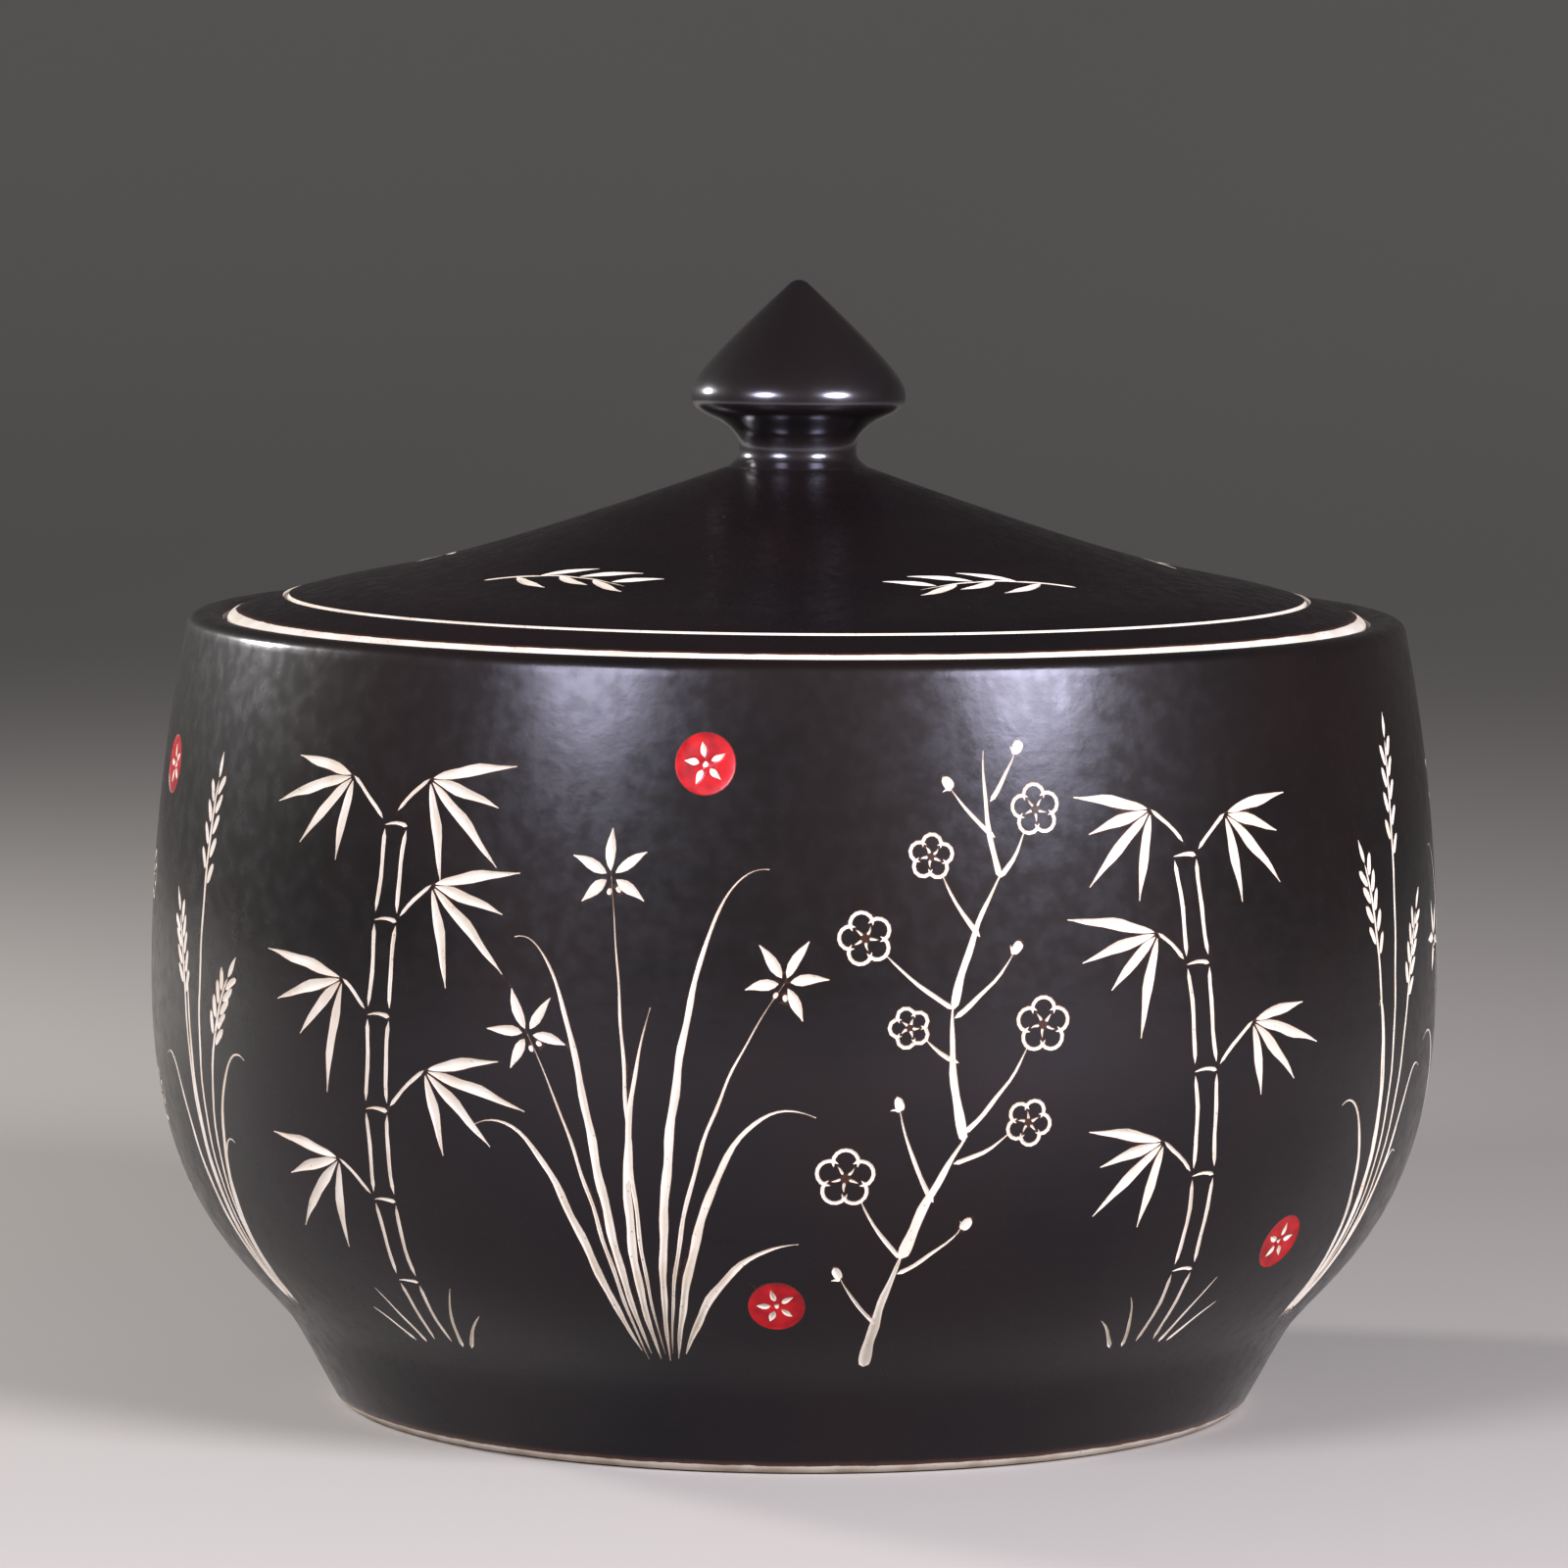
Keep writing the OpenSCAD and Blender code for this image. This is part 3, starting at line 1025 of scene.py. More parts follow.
@dataclass(frozen=True)
class Orchid:
    """Long arching leaves from one root, with small flowers on thin stems between them."""

    height: float = 112.0
    blades: tuple[Blade, ...] = (
        Blade(-5.5, (-0.20, 0.58), (-0.34, 0.50)), Blade(-3.2, (-0.14, 0.90), (-0.25, 0.86)),
        Blade(-1.0, (-0.05, 0.5), (0.02, 0.74)), Blade(1.3, (0.09, 1.02), (0.24, 1.0)),
        Blade(3.6, (0.16, 0.62), (0.33, 0.54)), Blade(5.8, (0.16, 0.28), (0.30, 0.29)),
    )
    stems: tuple[Blade, ...] = (
        Blade(-4.3, (-0.10, 0.45), (-0.22, 0.68)), Blade(2.4, (0.10, 0.55), (0.27, 0.79)),
        Blade(0.4, (-0.03, 0.7), (-0.06, 0.98)),
    )
    flower_headings: tuple[float, ...] = (118, 66, 96)
    petals: tuple[tuple[float, float], ...] = ((0, 8.8), (52, 8.2), (-55, 8.0), (118, 7.0), (-124, 7.4))
    dots: tuple[float, float] = (170, 205)

    LEAF_HALF, STEM_HALF = 0.95, 0.45
    PETAL_HALF, PETAL_GAP, PETAL_BEND = 1.15, 1.3, 14.0
    DOT, DOT_HALF, DOT_GAP = 1.4, 0.5, 2.4

    def strokes(self) -> list[Stroke]:
        """The blades, and a flower on each stem.

        Returns:
            The strokes.
        """
        out = [blade.stroke(self.LEAF_HALF, self.height) for blade in self.blades]
        for stem, heading in zip(self.stems, self.flower_headings):
            out.append(stem.stroke(self.STEM_HALF, self.height))
            out += self.flower(np.asarray(stem.tip) * self.height, heading)
        return out

    def flower(self, middle: Array, heading: float) -> list[Stroke]:
        """Five pointed petals round a point, and two dots.

        Args:
            middle: The point.
            heading: Heading of the longest petal, in degrees.

        Returns:
            The strokes.
        """
        out = []
        for turn, length in self.petals:
            root = middle + self.PETAL_GAP * along(heading + turn)
            bend = self.PETAL_BEND if turn > 0 else -self.PETAL_BEND
            out.append(flick(root, heading + turn, length, bend, self.PETAL_HALF, Taper.LEAF))
        for turn in self.dots:
            root = middle + self.DOT_GAP * along(heading + turn)
            out.append(flick(root, heading + turn, self.DOT, 0, self.DOT_HALF, Taper.GRAIN))
        return out


@dataclass(frozen=True)
class Blossom:
    """A round five-petalled flower seen from the front, with its stamens as shares of a petal's radius."""

    petal: float = 2.7
    line_half: float = 0.42

    PETALS, RING, ARCH = 5, 1.28, 224
    STAMEN, STAMEN_FROM, STAMEN_TURN, STAMEN_BEND, STAMEN_HALF = 0.75, 0.35, 30, 10, 0.36

    def at(self, middle: Array, turn: float) -> list[Stroke]:
        """The flower's strokes: an arch for each petal, and a stamen towards it.

        Args:
            middle: Its middle.
            turn: Angle of its first petal.

        Returns:
            The strokes.
        """
        middle = np.asarray(middle, float)
        out = []
        for number in range(self.PETALS):
            angle = turn + 360 / self.PETALS * number
            petal = middle + self.RING * self.petal * along(angle)
            out.append(arched(petal, self.petal, angle - self.ARCH / 2, self.ARCH, self.line_half))
            angle += self.STAMEN_TURN
            root = middle + self.STAMEN_FROM * self.petal * along(angle)
            out.append(flick(root, angle, self.STAMEN * self.petal, self.STAMEN_BEND, self.STAMEN_HALF, Taper.TAIL))
        return out


@dataclass(frozen=True)
class Shoot:
    """A twig of a branch, which ends in a flower, or in a bud where the petal's size is zero."""

    height: float
    end: tuple[float, float]
    bend: float
    petal: float = 0.0

    HALF = 0.62
    FLOWER_GAP = 2.2  # in petals
    BUD, BUD_HALF, BUD_GAP = 3.4, 1.15, 3.0
    SCALE, SCALE_HALF, SCALE_TURN, SCALE_BEND = 2.2, 0.42, 48, 30

    def strokes(self, branch: Array) -> list[Stroke]:
        """The twig from the branch at its height, and the flower or the bud with its scale.

        Args:
            branch: Points of the branch, one a row, from its foot up.

        Returns:
            The strokes.
        """
        start = np.array([np.interp(self.height, branch[:, 1], branch[:, 0]), self.height])
        end = np.asarray(self.end, float)
        heading = bearing(end - start)
        gap = self.FLOWER_GAP * self.petal if self.petal else self.BUD_GAP
        length = float(np.linalg.norm(end - start)) - gap
        out = [flick(start, heading - self.bend / 2, length, self.bend, self.HALF, Taper.TAIL)]
        if self.petal:
            return out + Blossom(self.petal).at(end, heading + 180)
        tip = start + length * along(heading)
        out.append(flick(tip, heading + self.bend / 2, self.BUD, 0, self.BUD_HALF, Taper.GRAIN))
        out.append(flick(tip, heading + self.SCALE_TURN, self.SCALE, self.SCALE_BEND, self.SCALE_HALF, Taper.TAIL))
        return out


@dataclass(frozen=True)
class Plum:
    """A branch in flower that climbs with a knee at each length."""

    knees: tuple[tuple[float, float], ...] = ((-15, 0), (-9, 34), (4, 62), (1, 92), (12, 121), (9, 148))
    thickness: tuple[float, ...] = (1.7, 1.45, 1.2, 1.0, 0.75)
    shoots: tuple[Shoot, ...] = (
        Shoot(14, (-25, 31), -14), Shoot(30, (7, 43), 20), Shoot(34, (-23, 54), -22, 2.9), Shoot(48, (-12, 72), -20),
        Shoot(57, (19, 66), 26, 2.3), Shoot(64, (22, 88), 22, 2.7), Shoot(80, (-9, 88), -26, 2.0),
        Shoot(92, (-19, 108), -16, 2.6), Shoot(90, (17, 106), 20), Shoot(108, (-4, 126), -18, 2.2),
        Shoot(121, (21, 136), 20, 2.5), Shoot(130, (-1, 143), -18), Shoot(138, (18, 151), 14),
    )

    BULGE = 0.06
    WAY_SHARES = (0.0, 0.35, 0.7, 1.05)  # of the leads along a length, which runs a little past its knee

    def strokes(self) -> list[Stroke]:
        """The branch's lengths, each bulging a little to its left, and its shoots.

        Returns:
            The strokes.
        """
        knees = np.asarray(self.knees, float)
        out = []
        for start, run, half in zip(knees[:-1], np.diff(knees, axis=0), self.thickness):
            lead = start + np.outer(self.WAY_SHARES, run)
            lead[1:3] += self.BULGE * np.array([-run[1], run[0]])
            out.append(brushed(lead, half, Taper.TAIL))
        for shoot in self.shoots:
            out += shoot.strokes(knees)
        return out


@dataclass(frozen=True)
class Reed:
    """Tall stems with heads of grain, between long narrow leaves."""

    stems: tuple[tuple[float, float], ...] = ((-14, 118), (5, 146), (19, 104))
    blades: tuple[tuple[float, float], ...] = ((-24, 62), (24, 66), (-8, 84), (15, 46))
    grains: int = 9
    grain: float = 5.4

    STEM_LEAD = ((0.15, 0.0), (0.2, 0.5), (0.45, 0.85), (1.0, 1.0))  # shares of the tip's place
    BLADE_LEAD = ((0.1, 0.0), (0.3, 0.7), (0.6, 1.1), (1.0, 1.0))
    STEM_HALF = 0.45
    BLADE_HALF, BLADE_FOOT = 1.2, 2.0
    FIRST_GRAIN, GRAIN_STEP = 70, 3  # in steps of the path
    GRAIN_HALF, GRAIN_GAP, GRAIN_TURN, GRAIN_BEND = 0.85, 0.9, 24, 8
    TIP, TIP_HALF = 6.0, 0.8

    def strokes(self) -> list[Stroke]:
        """The stems with their grains in two ranks, and the leaves.

        Returns:
            The strokes.
        """
        out = []
        for end in self.stems:
            lead = np.array(self.STEM_LEAD) * end
            out.append(brushed(lead, self.STEM_HALF, Taper.STEM, LONG_PITCH))
            path = cubic(lead, PATH_STEPS)
            for rank in range(self.grains):
                row = self.FIRST_GRAIN + self.GRAIN_STEP * rank
                heading, side = bearing(path[row] - path[row - 1]), by_turns(rank)
                root = path[row] + self.GRAIN_GAP * along(heading + 90 * side)
                turned = heading + self.GRAIN_TURN * side
                out.append(flick(root, turned, self.grain, self.GRAIN_BEND * side, self.GRAIN_HALF, Taper.GRAIN))
            out.append(flick(path[-1], bearing(path[-1] - path[-2]), self.TIP, 0, self.TIP_HALF, Taper.LEAF))
        for end in self.blades:
            lead = np.array(self.BLADE_LEAD) * end
            lead[0, 1] = self.BLADE_FOOT
            out.append(brushed(lead, self.BLADE_HALF, Taper.TAIL))
        return out


@dataclass(frozen=True)
class Spray:
    """A twig lying on its side with leaves along it."""

    length: float = 40.0
    leaves: int = 6
    leaf: float = 15.0

    LEAD = ((-0.5, -0.06), (-0.15, 0.1), (0.2, 0.06), (0.5, 0.0))  # shares of the length
    HALF = 0.5
    FIRST_LEAF, LEAF_ROWS = 18, 80  # in steps of the path
    LEAF_HALF, LEAF_GAP, LEAF_BEND = 1.25, 0.7, 20
    LEAF_TURN, TURN_MORE = 34, 3
    LEAF_LESS = 0.1

    def strokes(self) -> list[Stroke]:
        """The twig, and leaves to both sides of it by turns.

        Returns:
            The strokes.
        """
        lead = np.array(self.LEAD) * self.length
        path = cubic(lead, PATH_STEPS)
        out = [brushed(lead, self.HALF, Taper.TAIL)]
        for number in range(self.leaves):
            root = path[self.FIRST_LEAF + round(self.LEAF_ROWS * number / self.leaves)]
            side, vary = by_turns(number), number % 3
            heading = self.LEAF_TURN * side + self.TURN_MORE * vary
            length = self.leaf * (1 - self.LEAF_LESS * vary)
            start = root + self.LEAF_GAP * along(heading)
            out.append(flick(start, heading, length, -self.LEAF_BEND * side, self.LEAF_HALF, Taper.LEAF))
        return out


# Finishes


class Graph:
    """Fills a node tree, giving each node its values and links in one call."""

    FINER = 0.5  # how strong each finer noise is beside the one before it

    def __init__(self, tree: bpy.types.NodeTree) -> None:
        """Starts with an empty tree."""
        self.tree = tree
        tree.nodes.clear()

    def add(self, kind: str, values: dict[str | int, object] | None = None, **settings: object) -> bpy.types.Node:
        """A new node.

        Args:
            kind: Its type, without the words that all shader nodes share.
            values: For inputs by name or number, a constant or the socket that feeds it.
            settings: The node's own settings.

        Returns:
            The node.
        """
        node = self.tree.nodes.new(f"ShaderNode{kind}")
        for name, value in settings.items():
            setattr(node, name, value)
        for key, value in (values or {}).items():
            if isinstance(value, Socket):
                self.tree.links.new(value, node.inputs[key])
            else:
                node.inputs[key].default_value = value
        return node

    def math(self, operation: str, *values: float | Socket) -> Socket:
        """The result of a sum, product or the like."""
        return self.add("Math", dict(enumerate(values)), operation=operation).outputs[0]

    def times(self, value: Socket, factor: float | Socket) -> Socket:
        """The value times a factor."""
        return self.math("MULTIPLY", value, factor)

    def rest(self, value: Socket) -> Socket:
        """One less the value."""
        return self.math("SUBTRACT", 1.0, value)

    def step(self, value: Socket, low: float | Socket, high: float | Socket) -> Socket:
        """Zero below the low value, one above the high one and smooth between them."""
        node = self.add("MapRange", {0: value, 1: low, 2: high, 3: 0.0, 4: 1.0}, interpolation_type="SMOOTHSTEP")
        return node.outputs[0]

    def between(self, share: Socket, low: float | Socket, high: float | Socket) -> Socket:
        """The value at a share of the way from the low to the high one."""
        return self.add("Mix", {0: share, 2: low, 3: high}, data_type="FLOAT").outputs[0]

    def tinted(self, share: Socket, first: Colour | Socket, second: Colour | Socket) -> Socket:
        """The colour at a share of the way from the first to the second."""
        return self.add("Mix", {0: share, 6: first, 7: second}, data_type="RGBA").outputs[2]

    def noise(
        self, place: Socket, grain: float, detail: float = 2.0, stretch: tuple[float, float, float] = (1, 1, 1)
    ) -> Socket:
        """A cloudy value round a half, with clouds of about the grain's size in metres.

        Args:
            place: Where to read it.
            grain: Size of the clouds.
            detail: How many times finer ones are added.
            stretch: How many times closer together the clouds lie along each axis.

        Returns:
            The value.
        """
        scaled = self.add("VectorMath", {0: place, 1: [s / grain for s in stretch]}, operation="MULTIPLY").outputs[0]
        values = {"Vector": scaled, "Scale": 1.0, "Detail": detail, "Roughness": self.FINER}
        return self.add("TexNoise", values).outputs[0]

    def attribute(self, name: str) -> Socket:
        """One of the mesh's own values."""
        return self.add("Attribute", attribute_name=name, attribute_type="GEOMETRY").outputs["Fac"]

    def surface(self, values: dict[str, object]) -> None:
        """Ends a material's tree with its shader, given the shader's inputs."""
        shader = self.add("BsdfPrincipled", values)
        self.add("OutputMaterial", {"Surface": shader.outputs[0]})


def new_material(name: str) -> tuple[bpy.types.Material, Graph]:
    """A material with an empty tree, and the graph that fills it.

    Args:
        name: Its name.

    Returns:
        The material and the graph.
    """
    material = bpy.data.materials.new(name)
    material.use_nodes = True
    return material, Graph(material.node_tree)


class Kind(Enum):
    """Kinds of socket of a shared effect."""

    VALUE = "NodeSocketFloat"
    VECTOR = "NodeSocketVector"


class Effect:
    """A node group that several materials use, each with values of its own."""

    name = "effect"
    inputs: dict[str, Kind] = {}
    outputs: dict[str, Kind] = {}

    def drawn(self, graph: Graph, given: dict[str, Socket]) -> dict[str, Socket]:
        """Draws the inside of the group from its inputs by name, and returns its outputs by name."""
        raise NotImplementedError

    def tree(self) -> bpy.types.NodeTree:
        """The group's tree, made at its first use.

        Returns:
            The tree.
        """
        known = bpy.data.node_groups.get(self.name)
        if known:
            return known
        tree = bpy.data.node_groups.new(self.name, "ShaderNodeTree")
        for way, sockets in (("INPUT", self.inputs), ("OUTPUT", self.outputs)):
            for label, kind in sockets.items():
                tree.interface.new_socket(label, in_out=way, socket_type=kind.value)
        graph = Graph(tree)
        source, sink = tree.nodes.new("NodeGroupInput"), tree.nodes.new("NodeGroupOutput")
        made = self.drawn(graph, {label: source.outputs[label] for label in self.inputs})
        for label, socket in made.items():
            tree.links.new(socket, sink.inputs[label])
        return tree

    def placed(self, graph: Graph, **values: float | Socket) -> dict[str, Socket]:
        """The group in a material.

        Args:
            graph: The material's tree.
            values: Its inputs, named as the group's with underscores for spaces.

        Returns:
            Its outputs by name.
        """
        named = {key.replace("_", " ").capitalize(): value for key, value in values.items()}
        node = graph.add("Group", named, node_tree=self.tree())
        return {label: node.outputs[label] for label in self.outputs}


class GlazeCloud(Effect):
    """Uneven thickness of the glaze: broad clouds, and thin level streaks left by the wheel."""

    name = "glaze cloud"
    inputs = {"Place": Kind.VECTOR}
    outputs = {"Cloud": Kind.VALUE, "Streak": Kind.VALUE, "Mottle": Kind.VALUE}
    cloud_grain = 0.052
    streak_grain = 0.05
    streak_squeeze = (1.0, 1.0, 34.0)
    mottle_grain = 0.0042
    detail = 3.0
    low, high = 0.31, 0.69

    def drawn(self, graph: Graph, given: dict[str, Socket]) -> dict[str, Socket]:
        """Three noises of unlike grain, the streaks closer together upwards than across.

        Args:
            graph: The group's tree.
            given: Its inputs by name.

        Returns:
            Its outputs by name.
        """
        noises = {
            "Cloud": graph.noise(given["Place"], self.cloud_grain, self.detail),
            "Streak": graph.noise(given["Place"], self.streak_grain, self.detail, self.streak_squeeze),
            "Mottle": graph.noise(given["Place"], self.mottle_grain, self.detail),
        }
        return {label: graph.step(noise, self.low, self.high) for label, noise in noises.items()}


class GlazeSkin(Effect):
    """Height of the glaze's skin: slow waves, orange peel, level ridges and a few pinholes, in metres."""

    name = "glaze skin"
    inputs = {"Place": Kind.VECTOR, "Wave": Kind.VALUE, "Peel": Kind.VALUE, "Ridge": Kind.VALUE}
    outputs = {"Height": Kind.VALUE}
    wave_grain, wave_detail = 0.014, 1.0
    peel_grain, peel_detail = 0.0030, 3.0
    ridge_grain, ridge_detail = 0.09, 2.0
    ridge_squeeze = (1.0, 1.0, 60.0)
    pin_density = 75.0  # cells to the metre, with one pinhole in the middle of each
    pin_floor, pin_rim = 0.010, 0.026  # shares of a cell
    pin_depth = 0.00002

    def drawn(self, graph: Graph, given: dict[str, Socket]) -> dict[str, Socket]:
        """The sum of each noise times its own height, less the pinholes.

        Args:
            graph: The group's tree.
            given: Its inputs by name.

        Returns:
            Its outputs by name.
        """
        place = given["Place"]
        wave = graph.times(graph.noise(place, self.wave_grain, self.wave_detail), given["Wave"])
        peel = graph.times(graph.noise(place, self.peel_grain, self.peel_detail), given["Peel"])
        ridges = graph.noise(place, self.ridge_grain, self.ridge_detail, self.ridge_squeeze)
        ridge = graph.times(ridges, given["Ridge"])
        cells = graph.add("TexVoronoi", {"Vector": place, "Scale": self.pin_density, "Randomness": 1.0})
        around = graph.step(cells.outputs["Distance"], self.pin_floor, self.pin_rim)
        raised = graph.times(around, self.pin_depth)
        return {"Height": graph.math("ADD", graph.math("ADD", wave, peel), graph.math("ADD", ridge, raised))}


class ClayGrain(Effect):
    """Bare fired clay: sandy height in metres, cloudy tone and a few dark specks."""

    name = "clay grain"
    inputs = {"Place": Kind.VECTOR}
    outputs = {"Height": Kind.VALUE, "Tone": Kind.VALUE, "Speck": Kind.VALUE}
    sand_grain, sand_detail, sand_height = 0.0007, 3.0, 0.00006
    tone_grain, tone_detail, tone_low, tone_high = 0.009, 4.0, 0.3, 0.72
    speck_density = 420.0  # cells to the metre
    speck_core, speck_rim = 0.06, 0.16  # shares of a cell

    def drawn(self, graph: Graph, given: dict[str, Socket]) -> dict[str, Socket]:
        """Noise of sand's size for the height, coarser noise for the tone, and small cells for the specks.

        Args:
            graph: The group's tree.
            given: Its inputs by name.

        Returns:
            Its outputs by name.
        """
        place = given["Place"]
        sand = graph.times(graph.noise(place, self.sand_grain, self.sand_detail), self.sand_height)
        tone = graph.step(graph.noise(place, self.tone_grain, self.tone_detail), self.tone_low, self.tone_high)
        cells = graph.add("TexVoronoi", {"Vector": place, "Scale": self.speck_density, "Randomness": 1.0})
        around = graph.step(cells.outputs["Distance"], self.speck_core, self.speck_rim)
        return {"Height": sand, "Tone": tone, "Speck": graph.rest(around)}


class GlazeEdge(Effect):
    """Where clay lies bare and where the glaze thins towards it, from distances in millimetres."""

    name = "glaze edge"
    inputs = {
        "Place": Kind.VECTOR, "Glaze reach": Kind.VALUE, "Cut reach": Kind.VALUE, "Carved": Kind.VALUE,
        "Wander": Kind.VALUE, "Fringe": Kind.VALUE, "Lip": Kind.VALUE,
    }
    outputs = {"Bare": Kind.VALUE, "Thin": Kind.VALUE}
    wander_grain, wander_detail = 0.006, 3.0
    wiped_low, wiped_high = -0.14, 0.1
    lip_share = 0.7

    def drawn(self, graph: Graph, given: dict[str, Socket]) -> dict[str, Socket]:
        """The wiped edge wanders with a noise, the cut one is as clean as the cut.

        Args:
            graph: The group's tree.
            given: Its inputs by name.

        Returns:
            Its outputs by name.
        """
        noise = graph.math("SUBTRACT", graph.noise(given["Place"], self.wander_grain, self.wander_detail), 0.5)
        reach = graph.math("ADD", given["Glaze reach"], graph.times(noise, given["Wander"]))
        wiped = graph.rest(graph.step(reach, self.wiped_low, self.wiped_high))
        thin = graph.rest(graph.step(reach, self.wiped_high, given["Fringe"]))
        lip = graph.rest(graph.step(given["Cut reach"], 0.0, given["Lip"]))
        return {
            "Bare": graph.math("MAXIMUM", wiped, given["Carved"]),
            "Thin": graph.math("MAXIMUM", thin, graph.times(lip, self.lip_share)),
        }


@dataclass(frozen=True)
class GlazedClay:
    """Black glaze over cream clay, with red enamel where the mesh asks for it.

    The glaze has two layers of shine: a gloss that mirrors the lights softly, and over it a broad sheen.
    The sheen is weaker towards the foot, and the bare clay at the very foot is darkened with painted shade.
    """

    name: str
    dark: Colour = (0.0030, 0.0021, 0.0020, 1)
    brown: Colour = (0.0072, 0.0038, 0.0031, 1)
    streak_share: float = 0.35
    thin: Colour = (0.050, 0.018, 0.009, 1)
    clay: Colour = (0.70, 0.655, 0.575, 1)
    clay_warm: Colour = (0.60, 0.53, 0.43, 1)
    speck: Colour = (0.26, 0.18, 0.11, 1)
    speck_share: float = 0.55
    # painted shade: bare clay at the very foot is darkened as if in shadow; its colour, how strongly and up to what
    # height
    painted_foot_shade: Colour = (0.20, 0.145, 0.10, 1)
    painted_shade_shares: tuple[float, float] = (0.55, 0.85)
    painted_shade_heights: tuple[float, float] = (0.0004, 0.0026)
    enamel: Colour = (0.42, 0.004, 0.006, 1)
    enamel_deep: Colour = (0.22, 0.0, 0.003, 1)
    gloss: float = 0.27
    gloss_tint: Colour = (0.82, 0.83, 1.0, 1)
    gloss_rough: float = 0.23
    gloss_spread: float = 0.10
    sheen: float = 0.25
    sheen_low: float = 0.05
    sheen_heights: tuple[float, float] = (0.03, 0.12)
    sheen_rough: float = 0.5
    clay_rough: float = 0.86
    enamel_rough: float = 0.3
    wave: float = 0.00005
    peel: float = 0.00004
    ridge: float = 0.000004
    wander: float = 0.9
    fringe: float = 1.6
    lip: float = 0.3

    def tone(self, graph: Graph, cloud: dict[str, Socket], edge: dict[str, Socket], painted: Socket) -> Socket:
        """Colour of the glaze and of the enamel.

        Args:
            graph: The material's tree.
            cloud: Outputs of the glaze's clouds.
            edge: Outputs of the glaze's edge.
            painted: One where there is enamel.

        Returns:
            The colour.
        """
        tone = graph.tinted(cloud["Cloud"], self.dark, self.brown)
        tone = graph.tinted(graph.times(cloud["Streak"], self.streak_share), tone, self.brown)
        tone = graph.tinted(edge["Thin"], tone, self.thin)
        return graph.tinted(painted, tone, graph.tinted(cloud["Mottle"], self.enamel, self.enamel_deep))

    def bare(self, graph: Graph, grain: dict[str, Socket], height: Socket) -> Socket:
        """Colour of the bare clay, darkened with painted shade at the very foot.

        Args:
            graph: The material's tree.
            grain: Outputs of the clay's grain.
            height: Height over the floor in metres.

        Returns:
            The colour.
        """
        clay = graph.tinted(grain["Tone"], self.clay, self.clay_warm)
        clay = graph.tinted(graph.times(grain["Speck"], self.speck_share), clay, self.speck)
        # painted shade: darker bare clay over the lowest few millimetres, varied a little by the clay's tone
        low = graph.rest(graph.step(height, *self.painted_shade_heights))
        share = graph.times(low, graph.between(grain["Tone"], *self.painted_shade_shares))
        return graph.tinted(share, clay, self.painted_foot_shade)

    def material(self) -> bpy.types.Material:
        """The finish as a material.

        Returns:
            The material, which reads the mesh's attributes for its bare, cut and enamelled places.
        """
        material, graph = new_material(self.name)
        place = graph.add("TexCoord").outputs["Object"]
        height = graph.add("SeparateXYZ", {0: place}).outputs[2]
        cloud = GlazeCloud().placed(graph, place=place)
        skin = GlazeSkin().placed(graph, place=place, wave=self.wave, peel=self.peel, ridge=self.ridge)
        grain = ClayGrain().placed(graph, place=place)
        edge = GlazeEdge().placed(
            graph, place=place, glaze_reach=graph.attribute("glaze_reach"), cut_reach=graph.attribute("cut_reach"),
            carved=graph.attribute("carved"), wander=self.wander, fringe=self.fringe, lip=self.lip,
        )
        painted = graph.attribute("enamel")
        spread = graph.times(graph.math("SUBTRACT", cloud["Mottle"], 0.5), self.gloss_spread)
        rough = graph.between(painted, graph.math("ADD", spread, self.gloss_rough), self.enamel_rough)
        sheen = graph.between(graph.step(height, *self.sheen_heights), self.sheen_low, self.sheen)
        relief = graph.between(edge["Bare"], skin["Height"], grain["Height"])
        bump = graph.add("Bump", {"Strength": 1.0, "Distance": 1.0, "Height": relief})
        glazed, bare = self.tone(graph, cloud, edge, painted), self.bare(graph, grain, height)
        graph.surface({
            "Base Color": graph.tinted(edge["Bare"], glazed, bare),
            "Roughness": graph.between(edge["Bare"], rough, self.clay_rough),
            "Specular IOR Level": self.gloss,
            "Specular Tint": self.gloss_tint,
            "Coat Weight": graph.between(edge["Bare"], sheen, 0.0),
            "Coat Roughness": self.sheen_rough,
            "Normal": bump.outputs[0],
        })
        return material


# The pieces


@dataclass
class Turned:
    """A piece turned on the wheel, that takes the place of one node."""

    node: str
    body: str
    slot: str
    finish: GlazedClay

    def surface(self) -> Patch:
        """The piece's whole surface."""
        raise NotImplementedError

    def build(self) -> bpy.types.Object:
        """Puts the surface into a mesh and the mesh into the scene, in place of the node.

        Returns:
            The piece.
        """
        patch = self.surface()
        piece = bpy.data.objects.new(f"{self.node}_surface", patch.mesh(self.node))
        bpy.context.scene.collection.objects.link(piece)
        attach(piece, self.body)
        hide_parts(self.node)
        log.info("%s: %d triangles, %d open edges", piece.name, len(patch.triangles), patch.open_edges())
        return piece

    def dress(self, piece: bpy.types.Object) -> None:
        """Gives the piece its finish."""
        piece.data.materials.append(self.finish.material())


@dataclass(frozen=True)
class Planting:
    """A plant's place in the drawing: its scale, the height of its foot, and whether it is mirrored."""

    plant: Motif
    scale: float
    foot: float
    mirrored: bool = False


LOW_REED = Reed(stems=((-12, 96), (6, 128), (17, 84)))


